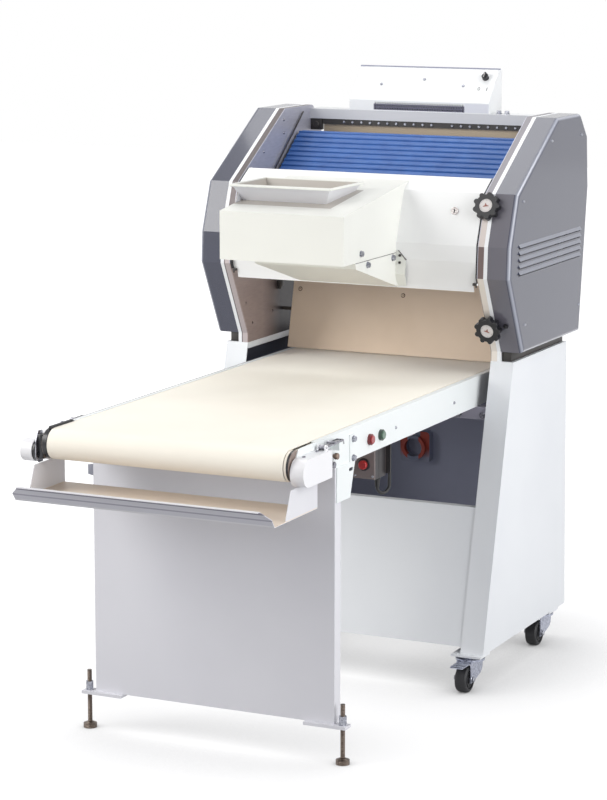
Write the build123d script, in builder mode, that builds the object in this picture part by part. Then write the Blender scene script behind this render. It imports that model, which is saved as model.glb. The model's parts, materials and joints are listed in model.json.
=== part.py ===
from build123d import *
import os
from math import atan2, cos, degrees, hypot, pi, radians, sin

# A dough moulder: a roller head on a wheeled stand, with a long outfeed belt in front of it.
# X runs to the right, Y to the back, Z up; the floor is Z = 0 and the origin is under the
# middle of the machine. All sizes are in millimetres.

# Heights of the stand, from the floor up
wheel_diameter = 75
caster_height = 95
caster_plate_thickness = 6
leg_height = 796
base_gap = 28

# Side outline of the head: its depth, and rises and setbacks of its front edge from the bottom up
side_depth = 628
low_rise = 218
mid_rise = 88
high_rise = 142
top_rise = 189
bottom_setback = 112
mid_setback = 5
high_setback = 57
slope_run = 307
rear_rake = 57
rear_knee_rise = 421
rear_top_setback = 14
rear_top_run = 60
rear_top_drop = 67
rear_top_radius = 20
rear_foot_radius = 40

# Side plates and side covers
inner_width = 762
plate_depth = 30
plate_web = 6
plate_rim = 8
cover_depth = 67
cover_wall = 3
cover_edge_radius = 12
louvre_count = 5
louvre_pitch = 18.7
louvre_length = 494
louvre_slot = 4
louvre_rise = 12
louvre_bulge = 5
louvre_margin = 66
louvre_drop = 6
plate_hole_diameter = 9
plate_hole_places = [(101, 90), (276, 46), (143, 27)]

# Stand: tapered sheet legs, panels between them, a crossmember under the conveyor
leg_width = 68
leg_wall = 3
leg_front_foot = -91
leg_rear_top = 541
leg_rear_foot = 563
panel_thickness = 2
panel_lap = 15
front_panel_height = 378
panel_floor_gap = 17
panel_flange = 25
back_panel_top_gap = 12
crossmember_size = 36
crossmember_wall = 2.5
crossmember_gap = 6

# Casters
caster_inset = 23
caster_front_y = -73
caster_rear_y = 472
caster_plate_width = 90
caster_plate_length = 70
caster_trail = 40
caster_wheel_width = 34
wheel_tread_radius = 6
wheel_hub_diameter = 26
wheel_rim = 9
wheel_dish = 4
caster_cheek = 3
caster_side_gap = 2.5
caster_disc_diameter = 82
caster_disc_thickness = 6
caster_race_lap = 1
caster_race_diameter = 44
king_pin_diameter = 12
axle_diameter = 10
pedal_thickness = 2.5
pedal_length = 62
pedal_pin_diameter = 5
pedal_offset = 42
pedal_side_gap = 1
cheek_round = 10
cheek_corner_radius = 8
cheek_inset = 3
cheek_heel_height = 46
cheek_heel_radius = 24
running_gap = 0.1
seat_gap = 0.3

# Conveyor
belt_side_gap = 51
belt_thickness = 2.2
belt_top = 854
conveyor_roller_diameter = 75
front_roller_y = -1075
rear_roller_y = 430
roller_end_gap = 10
roller_axle_diameter = 20
rail_height = 86
rail_wall = 3
rail_margin = 18
rail_flange = 30
rail_belt_gap = 3
rail_front_y = -960
rail_nose_radius = 28
rail_rear_y = 470

# Conveyor front end: bearing carriers, end blocks and toggle latches
carrier_gap = 2
carrier_nose_margin = 1
carrier_arm_length = 160
carrier_arm_width = 20
carrier_arm_lap = 20
carrier_wall = 4
carrier_clearance = 3
block_width = 36
block_height = 70
block_sink = 13.5
block_rear = 130
block_noses = {"left": 10, "right": 36}
block_nose_radius = 34
cap_diameter = 58
cap_length = 33
cap_lap = 8
cap_forward = 11
cap_drop = 6
latch_width = 16
latch_thickness = 4
latch_length = 110
latch_pin_diameter = 6
latch_ear = 4
latch_ear_height = 14
latch_pin_height = 7
latch_pin_setback = 20
latch_side_gap = 0.3
latch_barrel = 3
latch_hook = 3
latch_hook_drop = 10
keeper_length = 24
keeper_height = 20

# Conveyor leg: bent panel, brackets and levelling feet
leg_panel_y = -853
leg_panel_flange = 36
leg_panel_bottom = 103
bracket_thickness = 3
bracket_length = 109
bracket_taper = 30
bracket_drop = 91
bracket_tab_rise = 70
bracket_tab_width = 30
bracket_setback = 7
bracket_bolt_inset = 12
bracket_bolt_pitch = 49
bracket_bolt_height = 8
bracket_slot_width = 9
bracket_slot_length = 26
bracket_slot_drop = 19
foot_plate_thickness = 8
foot_plate_reach = 37
foot_plate_lap = 82
foot_reach = 22
foot_rod_diameter = 12
foot_rod_top = 158
foot_pad_diameter = 36
foot_pad_height = 12
foot_cone_height = 5
foot_y_offset = 4
foot_nut_height = 12
foot_nut_count = 2
foot_nut_size = 19

# Catch tray under the front roller
tray_wall = 2
tray_overhang = 12
tray_depth = 239
tray_drop = 73.5
tray_rear_inset = 35
tray_side_inset = 60
tray_front_rake = 30
tray_lip_length = 52
tray_lip_angle = 53.5
tray_corner_cut = 26
tray_hem = 10

# Push buttons on the right rail
button_diameter = 22
bezel_diameter = 29
bezel_rise = 7
button_rise = 12
button_depth = 8
button_edge_radius = 2
button_height = 36
red_button_y = -642
green_button_y = -573

# Control box under the conveyor, its hanger and its lead
box_width = 66
box_depth = 70
box_height = 95
box_inset = 67
box_hang = 17
box_front_y = -455
box_edge_radius = 4
box_wall = 3
hanger_thickness = 3
hanger_width = 32
hanger_reach = 13
hanger_foot = 5
hanger_flange = 45
hanger_edge = 3
stop_diameter = 24
stop_head = 9
stop_gap = 6
stop_edge_radius = 3
stop_stem_diameter = 12
stop_stem_depth = 15
stop_height = 39
stop_offset = 1
lead_diameter = 9
gland_diameter = 18
gland_length = 14
lead_drop = 34
lead_bend = 18
lead_run = 33
lead_shift = 16
gland_side_inset = 16
gland_rear_inset = 20

# Hood and hopper on the front of the head
hood_drop = 41
hood_rise = 306
hood_knee_rise = 84
hood_gap = 5
hood_sheet = 2.5
hood_opening_margin = 5
hood_opening_bottom = 16
hood_opening_height = 218
hood_return = 20
hood_notch_width = 11
hood_notch_height = 25
hood_boss_diameter = 20
hood_boss_height = 50
hopper_left = -235
hopper_width = 372
hopper_reach = 345
hopper_lift = 101
hopper_front_height = 133
hopper_top_slope = 0.136
hopper_wall = 2
funnel_left_inset = 5
funnel_width = 295
funnel_front = 259
funnel_length = 209
funnel_rise = 65
funnel_left_taper = 18
funnel_right_taper = 38
funnel_front_taper = 54
funnel_back_taper = 25
funnel_depth = 60
funnel_lip = 4
chute_front = 272
chute_width = 304
chute_front_drop = 17
chute_front_lean = 7
chute_lift = 2

# Lock on the hood
lock_edge_inset = 78
lock_lift = 220
lock_flange_diameter = 22
lock_flange_rise = 3
lock_body_diameter = 16
lock_body_length = 20
key_slot_width = 2
key_slot_length = 9
key_slot_depth = 2

# Adjusting knobs with dials on the front edge of the right side plate
knob_radius = 39
knob_lobes = 9
knob_lobe_radius = 7
knob_valley_radius = 3
knob_thickness = 20
knob_edge_radius = 2
knob_boss_diameter = 24
knob_boss_rises = {"upper": 3, "lower": 13}
lower_knob_dip = 13
spindle_diameter = 12
spindle_length = 60
spindle_end_gap = 5
dial_diameter = 37
dial_recess = 6
dial_thickness = 5
dial_fit = 0.3
upper_knob_drop = 37
lower_knob_lift = 74

# Top of the head: crossbar, screwed comb strip, felt and blower box
crossbar_inset = 93
crossbar_drop = 10
crossbar_depth = 65
crossbar_flange = 30
crossbar_sheet = 3
comb_drop = 16
comb_thickness = 8
comb_end_gap = 41
felt_drop = 60
felt_thickness = 4
blower_left = -250
blower_width = 447
blower_lip = 31
blower_rise = 96
blower_run = 85
blower_top = 20
blower_sheet = 1.5
grille_columns = 36
grille_rows = 3
grille_pitch = 8
grille_hole = 5
grille_offset = 1.5
grille_height = 15
switch_x = 163
switch_along = 93
switch_diameter = 20
switch_height = 12
switch_grip_width = 6
switch_grip_height = 6
switch_shaft_diameter = 6
switch_shaft_length = 10

# Ribbed infeed belt and its rollers
feed_end_setback = 107
feed_end_drop = 81
feed_angle = 37
feed_length = 240
feed_roller_diameter = 70
feed_axle_diameter = 25
feed_belt_thickness = 3
feed_rib_radius = 4
feed_rib_pitch = 21.5
feed_side_gap = 10
feed_drum_gap = 2

# Pressure board over the belt
board_thickness = 12
board_gap = 4
board_height = 218
board_lean = 13.5
board_y = 314
board_end_gap = 31
board_rod_diameter = 10
board_rod_lift = 115
board_screw_drop = 43
board_screw_left_inset = 23
board_screw_right_inset = 9
board_screw_offset = 7

# Mains inlet on the back panel
inlet_x = -21
inlet_lift = 445
inlet_flange = 95
inlet_flange_height = 30
inlet_ring = 76
inlet_ring_height = 45
inlet_bore = 56
inlet_bore_depth = 34
inlet_corner = 12

# Fasteners
screw_head_diameter = 9
screw_tip_diameter = 6.4
screw_head_height = 3
hex_size = 13
hex_height = 6
washer_diameter = 18
washer_thickness = 1.5
comb_screw_pitch = 28.5
comb_left_screws = 11
comb_right_screws = 8
comb_first_x = -269
comb_right_x = 81.5
cover_screw_inset = 50
cover_screw_rear_inset = 20
cover_screw_top_drop = 61
cover_screw_knee_drop = 22
cover_screw_low_lift = 80
blower_screw_places = {-163: 60, -30: 82, 100: 62}
rail_screw_places = (-475, -75)
rail_screw_height = 38
hopper_bolt_setback = 111
hopper_bolt_lift = 22
chute_bolt_places = (-190, -20)
chute_bolt_drop = 13

# Heights of the stand and of the head's outline
leg_bottom = caster_height + caster_plate_thickness
leg_top = leg_bottom + leg_height
side_bottom = leg_top + base_gap
low_knee = side_bottom + low_rise
mid_knee = low_knee + mid_rise
high_knee = mid_knee + high_rise
side_top = high_knee + top_rise

# Half widths from the middle of the machine outwards
inner_half = inner_width / 2
belt_half = inner_half - belt_side_gap
rail_half = belt_half + rail_margin
hood_half = inner_half - hood_gap
plate_half = inner_half + plate_depth
cover_half = plate_half + cover_depth
leg_half = inner_half + leg_width
caster_x = inner_half + caster_inset

# The front line of the head, from the reach of the tray in front and of the blower box behind
lip_run = tray_lip_length * cos(radians(tray_lip_angle))
lip_rise = tray_lip_length * sin(radians(tray_lip_angle))
reach_front = tray_rear_inset + tray_depth + lip_run + tray_hem - block_rear - front_roller_y
crossbar_y = side_depth - crossbar_inset
reach_rear = max(side_depth, crossbar_y + blower_run + blower_top)
head_y = (reach_front - reach_rear) / 2
front_edge = [
    (head_y + bottom_setback, side_bottom),
    (head_y, low_knee),
    (head_y + mid_setback, mid_knee),
    (head_y + high_setback, high_knee),
    (head_y + high_setback + slope_run, side_top),
]
rear_edge = [
    (head_y + side_depth - rear_rake, side_bottom),
    (head_y + side_depth, side_bottom + rear_knee_rise),
    (head_y + side_depth - rear_top_setback, side_top - rear_top_drop),
    (head_y + side_depth - rear_top_setback - rear_top_run, side_top),
]

# Heights of the conveyor, the hood and the hopper
rail_bottom = belt_top - rail_height
belt_radius = conveyor_roller_diameter / 2 + seat_gap + belt_thickness
roller_axis_z = belt_top - belt_radius
hood_bottom = low_knee - hood_drop
hood_knee = hood_bottom + hood_knee_rise
hood_top = hood_bottom + hood_rise
hopper_bottom = hood_bottom + hopper_lift
hopper_top = hopper_bottom + hopper_front_height
lock_z = hood_bottom + lock_lift

center_low = (Align.CENTER, Align.CENTER, Align.MIN)
sides = {"left": -1, "right": 1}
os.makedirs("parts", exist_ok=True)


def save(builder, name):
    """Label a finished piece and write it as one STEP file."""
    builder.part.label = name
    export_step(builder.part, f"parts/{name}.step")


def edge_at(points, z):
    """Y of a broken line of (y, z) points at height z; its end runs go on past the ends."""
    for (y0, z0), (y1, z1) in zip(points, points[1:]):
        if z <= z1:
            break
    return y0 + (y1 - y0) * (z - z0) / (z1 - z0)


def front_at(z):
    """Y of the front edge of the side plates at height z."""
    return edge_at(front_edge, z)


def front_normal(z):
    """Outward direction (x, y, z) square to the front edge of the side plates at height z."""
    for (y0, z0), (y1, z1) in zip(front_edge, front_edge[1:]):
        if z <= z1:
            break
    return (0, z0 - z1, y1 - y0)


def side_outline(bottom):
    """Corner points (y, z) of the head's side, from its lower front corner round to the lower rear."""
    rim = front_edge + rear_edge[::-1]
    if bottom < side_bottom:
        rim = [(rim[0][0], bottom)] + rim + [(rim[-1][0], bottom)]
    return rim


def side_face(bottom):
    """Draw the head's side outline in the open sketch, eased at the top of its rear bevel."""
    face = Polygon(*side_outline(bottom), align=None)
    top_corners = face.vertices().group_by(Axis.Y)[-1]
    fillet(top_corners.sort_by(Axis.X)[-1], rear_top_radius)
    return face


def cover_face():
    """Draw the outline of a side cover in the open sketch, rounded at its lower rear corner too."""
    face = side_face(side_bottom)
    low_corners = face.vertices().group_by(Axis.Y)[0]
    fillet(low_corners.sort_by(Axis.X)[-1], rear_foot_radius)


def slot_face(start, end, radius, mode=Mode.ADD):
    """Draw a stadium of the given radius between two (y, z) centres in the open sketch."""
    middle = ((start[0] + end[0]) / 2, (start[1] + end[1]) / 2)
    length = hypot(end[0] - start[0], end[1] - start[1])
    turn = degrees(atan2(end[1] - start[1], end[0] - start[0]))
    with Locations(middle):
        SlotCenterToCenter(length, 2 * radius, rotation=turn, mode=mode)


# Slanted edges of the legs
leg_front_line = [(head_y + leg_front_foot, leg_bottom), (head_y + bottom_setback, leg_top)]
leg_rear_line = [(head_y + leg_rear_foot, leg_bottom), (head_y + leg_rear_top, leg_top)]
leg_front_slant = hypot(1, (bottom_setback - leg_front_foot) / leg_height)
leg_rear_slant = hypot(1, (leg_rear_top - leg_rear_foot) / leg_height)

# Ribbed belt: roller centres, along the slope and square to it
slope = (cos(radians(feed_angle)), sin(radians(feed_angle)))
feed_inner_radius = feed_roller_diameter / 2 + seat_gap
feed_outer_radius = feed_inner_radius + feed_belt_thickness
feed_upper = (
    head_y + crossbar_y - feed_end_setback + slope[1] * feed_outer_radius,
    side_top - feed_end_drop - slope[0] * feed_outer_radius,
)
feed_lower = (feed_upper[0] - slope[0] * feed_length, feed_upper[1] - slope[1] * feed_length)

# Conveyor roller axes
front_axis = (head_y + front_roller_y, roller_axis_z)
rear_axis = (head_y + rear_roller_y, roller_axis_z)

# Knob places on the front edge of the right side plate: the upper square to it, the lower nearer level
knob_x = inner_half + plate_depth / 2
knob_planes = {}
knob_heights = {"upper": high_knee - upper_knob_drop, "lower": side_bottom + lower_knob_lift}
knob_normals = {
    "upper": front_normal(knob_heights["upper"]),
    "lower": (0, -cos(radians(lower_knob_dip)), -sin(radians(lower_knob_dip))),
}
for name, knob_z in knob_heights.items():
    knob_place = (knob_x, front_at(knob_z), knob_z)
    knob_planes[name] = Plane(knob_place, x_dir=(1, 0, 0), z_dir=knob_normals[name])

# Side plates: webs with a deep rim, bores for the feed rollers, bosses for knobs and hood
hood_boss_z = hood_bottom + hood_boss_height
for name, side in sides.items():
    with BuildPart() as side_plate:
        with BuildSketch(Plane.YZ.offset(side * inner_half)):
            side_face(leg_top)
        extrude(amount=side * plate_depth)
        with BuildSketch(Plane.YZ.offset(side * (inner_half + plate_web))):
            side_face(leg_top)
            offset(amount=-plate_rim, mode=Mode.REPLACE)
        extrude(amount=side * (plate_depth - plate_web), mode=Mode.SUBTRACT)
        with BuildSketch(Plane.YZ.offset(side * inner_half)):
            with Locations(feed_upper, feed_lower):
                Circle(feed_axle_diameter / 2 + running_gap)
            for hole_y, hole_lift in plate_hole_places:
                with Locations((head_y + hole_y, side_bottom + hole_lift)):
                    Circle(plate_hole_diameter / 2)
        extrude(amount=side * plate_web, mode=Mode.SUBTRACT)
        with BuildSketch(Plane.YZ.offset(side * inner_half)):
            with Locations((front_at(hood_boss_z) + hood_boss_diameter, hood_boss_z)):
                Circle(hood_boss_diameter / 2)
        extrude(amount=-side * (hood_gap - seat_gap))
        if side > 0:
            for knob_name, knob_plane in knob_planes.items():
                boss_rise = knob_boss_rises[knob_name]
                boss_face = knob_plane.offset(boss_rise)
                with BuildSketch(boss_face):
                    Circle(knob_boss_diameter / 2)
                extrude(amount=-(boss_rise + plate_rim))
                with BuildSketch(boss_face):
                    Circle(spindle_diameter / 2 + running_gap)
                extrude(amount=-spindle_length, mode=Mode.SUBTRACT)
    save(side_plate, f"side_plate_{name}")

# Side covers: deep sheet trays with pressed louvres
louvre_top = mid_knee - louvre_drop
for name, side in sides.items():
    with BuildPart() as side_cover:
        with BuildSketch(Plane.YZ.offset(side * plate_half)):
            cover_face()
        extrude(amount=side * cover_depth)
        with BuildSketch(Plane.YZ.offset(side * plate_half)):
            cover_face()
            offset(amount=-cover_wall, mode=Mode.REPLACE)
        extrude(amount=side * (cover_depth - cover_wall), mode=Mode.SUBTRACT)
        flat_faces = side_cover.faces().filter_by(Axis.X).sort_by(Axis.X, reverse=side < 0)
        fillet(flat_faces[-2].edges(), cover_edge_radius - cover_wall)
        outer_face = side_cover.faces().filter_by(Axis.X).sort_by(Axis.X, reverse=side < 0)[-1]
        fillet(outer_face.edges(), cover_edge_radius)
        for row in range(louvre_count):
            slot_z = louvre_top - row * louvre_pitch
            louvre_start = head_y + louvre_margin
            hood_plane = Plane.XZ.offset(-louvre_start)
            with BuildSketch(hood_plane):
                Polygon(
                    (side * (cover_half - cover_wall / 2), slot_z),
                    (side * (cover_half + louvre_bulge), slot_z),
                    (side * (cover_half - cover_wall / 2), slot_z + louvre_rise),
                    align=None,
                )
            extrude(amount=-louvre_length)
            with BuildSketch(hood_plane):
                with Locations((side * cover_half, slot_z - louvre_slot / 2)):
                    Rectangle(2 * (cover_wall + louvre_bulge), louvre_slot)
            extrude(amount=-louvre_length, mode=Mode.SUBTRACT)
    save(side_cover, f"side_cover_{name}")

# Stand legs: tapered sheet channels, open to the inside, with caster plates under them
caster_ends = {"front": head_y + caster_front_y, "rear": head_y + caster_rear_y}
for name, side in sides.items():
    leg_corners = [leg_front_line[0], leg_front_line[1], leg_rear_line[1], leg_rear_line[0]]
    with BuildPart() as leg:
        with BuildSketch(Plane.YZ.offset(side * inner_half)):
            Polygon(*leg_corners, align=None)
        extrude(amount=side * leg_width)
        with BuildSketch(Plane.YZ.offset(side * inner_half)):
            Polygon(*leg_corners, align=None)
            offset(amount=-leg_wall, kind=Kind.INTERSECTION, mode=Mode.REPLACE)
        extrude(amount=side * (leg_width - leg_wall), mode=Mode.SUBTRACT)
        for caster_y in caster_ends.values():
            with Locations((side * caster_x, caster_y, caster_height)):
                Box(caster_plate_width, caster_plate_length, caster_plate_thickness, align=center_low)
                Cylinder(
                    king_pin_diameter / 2 + running_gap,
                    2 * (caster_plate_thickness + leg_wall),
                    mode=Mode.SUBTRACT,
                )
    save(leg, f"stand_leg_{name}")

# Front and back panels of the stand, lapped behind the leg flanges
panel_half = inner_half + panel_lap
panel_bottom = leg_bottom + panel_floor_gap
front_lap = leg_wall * leg_front_slant
rear_lap = leg_wall * leg_rear_slant
front_panel_top = panel_bottom + front_panel_height
with BuildPart() as stand_front_panel:
    low_y = edge_at(leg_front_line, panel_bottom) + front_lap
    high_y = edge_at(leg_front_line, front_panel_top) + front_lap
    with BuildSketch(Plane.YZ.offset(-panel_half)):
        Polygon(
            (low_y, panel_bottom),
            (high_y, front_panel_top),
            (high_y + panel_flange, front_panel_top),
            (high_y + panel_flange, front_panel_top - panel_thickness),
            (high_y + panel_thickness, front_panel_top - panel_thickness),
            (low_y + panel_thickness, panel_bottom),
            align=None,
        )
    extrude(amount=2 * panel_half)
save(stand_front_panel, "stand_front_panel")

back_panel_top = leg_top - back_panel_top_gap
with BuildPart() as stand_back_panel:
    low_y = edge_at(leg_rear_line, panel_bottom) - rear_lap
    high_y = edge_at(leg_rear_line, back_panel_top) - rear_lap
    with BuildSketch(Plane.YZ.offset(-panel_half)):
        Polygon(
            (low_y, panel_bottom),
            (high_y, back_panel_top),
            (high_y - panel_thickness, back_panel_top),
            (low_y - panel_thickness, panel_bottom),
            align=None,
        )
    extrude(amount=2 * panel_half)
save(stand_back_panel, "stand_back_panel")

# Crossmember between the legs, under the conveyor rails
crossmember_y = edge_at(leg_front_line, rail_bottom) + front_lap + crossmember_gap + crossmember_size / 2
crossmember_length = 2 * (leg_half - leg_wall)
crossmember_bore = crossmember_size - 2 * crossmember_wall
with BuildPart() as crossmember:
    with Locations((0, crossmember_y, rail_bottom - crossmember_size / 2)):
        Box(crossmember_length, crossmember_size, crossmember_size)
        Box(crossmember_length, crossmember_bore, crossmember_bore, mode=Mode.SUBTRACT)
save(crossmember, "conveyor_crossmember")

# Casters: swivel forks, wheels and the front brake pedals
wheel_radius = wheel_diameter / 2
dish_width = wheel_radius - wheel_rim - wheel_hub_diameter / 2
dish_middle = wheel_hub_diameter / 2 + dish_width / 2
cheek_inner = caster_wheel_width / 2 + caster_side_gap
cheek_outer = cheek_inner + caster_cheek
race_top = caster_height - seat_gap
disc_top = race_top - caster_disc_thickness + caster_race_lap
disc_bottom = disc_top - caster_disc_thickness
pedal_z = disc_bottom - pedal_thickness / 2
cheek_top = disc_bottom + caster_disc_thickness / 2
for end, caster_y in caster_ends.items():
    for name, side in sides.items():
        axle_y = caster_y - caster_trail
        cheek_rear = caster_y + caster_disc_diameter / 2 - cheek_inset
        corner = f"{end}_{name}"
        pedal_axis = Plane(
            (side * caster_x - cheek_outer, caster_y - pedal_offset, pedal_z), z_dir=(1, 0, 0)
        )
        axle_plane = Plane((side * caster_x - cheek_outer, axle_y, wheel_radius), z_dir=(1, 0, 0))
        with BuildPart() as fork:
            with Locations((side * caster_x, caster_y, disc_bottom)):
                Cylinder(caster_disc_diameter / 2, caster_disc_thickness, align=center_low)
            with Locations((side * caster_x, caster_y, disc_top)):
                Cylinder(caster_race_diameter / 2, race_top - disc_top, align=center_low)
                Cylinder(
                    king_pin_diameter / 2,
                    caster_height + caster_plate_thickness - disc_top,
                    align=center_low,
                )
            for cheek in (-1, 1):
                cheek_x = side * caster_x + cheek * (cheek_inner + caster_cheek / 2) - caster_cheek / 2
                with BuildSketch(Plane.YZ.offset(cheek_x)):
                    cheek_face = Polygon(
                        (cheek_rear, cheek_top),
                        (caster_y - pedal_offset - pedal_pin_diameter, cheek_top),
                        (axle_y - cheek_round, wheel_radius - cheek_round),
                        (axle_y + cheek_round, wheel_radius - cheek_round),
                        (cheek_rear, cheek_heel_height),
                        align=None,
                    )
                    cheek_rows = cheek_face.vertices().sort_by(Axis.Y)
                    fillet(cheek_rows[2], cheek_heel_radius)
                    fillet(cheek_rows[:2], cheek_corner_radius)
                extrude(amount=caster_cheek)
            with BuildSketch(axle_plane):
                Circle(axle_diameter / 2)
            extrude(amount=2 * cheek_outer)
            if end == "front":
                with BuildSketch(pedal_axis):
                    Circle(pedal_pin_diameter / 2 + running_gap)
                extrude(amount=2 * cheek_outer, mode=Mode.SUBTRACT)
        save(fork, f"caster_fork_{corner}")

        wheel_centre = Plane((side * caster_x, axle_y, wheel_radius), x_dir=(1, 0, 0), z_dir=(0, 0, 1))
        with BuildPart() as wheel:
            with BuildSketch(wheel_centre):
                with Locations((0, wheel_radius / 2)):
                    rim = Rectangle(caster_wheel_width, wheel_radius)
                fillet(rim.vertices().group_by(Axis.Y)[-1], wheel_tread_radius)
                for face_side in (-1, 1):
                    with Locations((face_side * caster_wheel_width / 2, dish_middle)):
                        Rectangle(2 * wheel_dish, dish_width, mode=Mode.SUBTRACT)
                Rectangle(caster_wheel_width, axle_diameter + 2 * running_gap, mode=Mode.SUBTRACT)
            revolve(axis=Axis(wheel_centre.origin, (1, 0, 0)))
        save(wheel, f"caster_wheel_{corner}")

        if end == "front":
            with BuildPart() as pedal:
                with BuildSketch(pedal_axis):
                    Circle(pedal_pin_diameter / 2)
                extrude(amount=2 * cheek_outer)
                with Locations((side * caster_x, caster_y - pedal_offset - pedal_length / 2, pedal_z)):
                    Box(2 * cheek_inner - 2 * pedal_side_gap, pedal_length, pedal_thickness)
            save(pedal, f"caster_brake_{end}_{name}")

# Conveyor rails: folded channels, with bores for the rear roller and the latch keepers
carrier_inner = belt_half + carrier_gap
carrier_outer = rail_half - rail_wall
carrier_half_height = belt_radius - belt_thickness - carrier_clearance
carrier_rear_y = head_y + rail_front_y
block_top = roller_axis_z + block_height / 2 - block_sink
block_bottom = block_top - block_height
block_middle = (block_top + block_bottom) / 2
block_rear_y = front_axis[0] + block_rear
latch_x = rail_half + block_width / 2
latch_pivot_y = block_rear_y - latch_pin_setback
latch_pivot_z = block_top + latch_pin_height
latch_tip_y = latch_pivot_y + latch_length
keeper_y = latch_tip_y - latch_thickness - keeper_length / 2
keeper_top = latch_pivot_z - latch_thickness / 2 - seat_gap
button_places = {"red": head_y + red_button_y, "green": head_y + green_button_y}
button_z = rail_bottom + button_height
for name, side in sides.items():
    with BuildPart() as rail:
        with BuildSketch(Plane.XZ.offset(-(head_y + rail_front_y))):
            Polygon(
                (side * (rail_half - rail_flange), rail_bottom),
                (side * rail_half, rail_bottom),
                (side * rail_half, belt_top),
                (side * (belt_half + rail_belt_gap), belt_top),
                (side * (belt_half + rail_belt_gap), belt_top - rail_wall),
                (side * (rail_half - rail_wall), belt_top - rail_wall),
                (side * (rail_half - rail_wall), rail_bottom + rail_wall),
                (side * (rail_half - rail_flange), rail_bottom + rail_wall),
                align=None,
            )
        extrude(amount=-(rail_rear_y - rail_front_y))
        with BuildSketch(Plane.YZ.offset(side * carrier_outer)):
            with Locations((carrier_rear_y, belt_top)):
                rail_nose = Rectangle(
                    carrier_rear_y - front_axis[0],
                    belt_radius + carrier_half_height,
                    align=(Align.MAX, Align.MAX),
                )
            fillet(rail_nose.vertices().group_by(Axis.X)[0], rail_nose_radius)
        extrude(amount=side * rail_wall)
        with BuildSketch(Plane.YZ.offset(side * (rail_half - rail_wall))):
            with Locations(rear_axis):
                Circle(roller_axle_diameter / 2 + running_gap)
            if side > 0:
                for button_y in button_places.values():
                    with Locations((button_y, button_z)):
                        Circle(button_diameter / 2 + seat_gap)
        extrude(amount=side * rail_wall, mode=Mode.SUBTRACT)
        keeper_reach = latch_x + latch_width / 2 - rail_half
        with Locations((side * (rail_half + keeper_reach / 2), keeper_y, keeper_top)):
            Box(
                keeper_reach,
                keeper_length,
                keeper_height,
                align=(Align.CENTER, Align.CENTER, Align.MAX),
            )
    save(rail, f"conveyor_rail_{name}")

# Conveyor belt loop and its two rollers
with BuildPart() as conveyor_belt:
    with BuildSketch(Plane.YZ.offset(-belt_half)):
        slot_face(front_axis, rear_axis, belt_radius)
        slot_face(front_axis, rear_axis, belt_radius - belt_thickness, Mode.SUBTRACT)
    extrude(amount=2 * belt_half)
save(conveyor_belt, "conveyor_belt")

roller_ends = {
    "front": (front_axis, carrier_outer - carrier_wall),
    "rear": (rear_axis, rail_half),
}
for name, (axis_point, axle_half) in roller_ends.items():
    with BuildPart() as roller:
        drum_half = belt_half - roller_end_gap
        with BuildSketch(Plane.YZ.offset(-drum_half)):
            with Locations(axis_point):
                Circle(conveyor_roller_diameter / 2)
        extrude(amount=2 * drum_half)
        with BuildSketch(Plane.YZ.offset(-axle_half)):
            with Locations(axis_point):
                Circle(roller_axle_diameter / 2)
        extrude(amount=2 * axle_half)
    save(roller, f"conveyor_roller_{name}")

# Bearing carriers of the front roller: round noses with an arm inside each rail
arm_inner = carrier_outer - carrier_arm_width
with BuildPart() as carriers:
    for side in sides.values():
        with BuildSketch(Plane.YZ.offset(side * carrier_inner)):
            with Locations(front_axis):
                Circle(belt_radius - carrier_nose_margin)
                Rectangle(
                    carrier_rear_y - front_axis[0],
                    2 * carrier_half_height,
                    align=(Align.MIN, Align.CENTER),
                )
        extrude(amount=side * (carrier_outer - carrier_inner))
        with BuildSketch(Plane.YZ.offset(side * arm_inner)):
            with Locations((carrier_rear_y - carrier_arm_lap, roller_axis_z)):
                Rectangle(
                    carrier_arm_lap + carrier_arm_length,
                    2 * carrier_half_height,
                    align=(Align.MIN, Align.CENTER),
                )
        extrude(amount=side * carrier_arm_width)
        with BuildSketch(Plane.YZ.offset(side * arm_inner)):
            with Locations(front_axis):
                Circle(roller_axle_diameter / 2 + running_gap)
        extrude(amount=side * (carrier_outer - carrier_wall - arm_inner), mode=Mode.SUBTRACT)
save(carriers, "roller_carriers")

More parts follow.
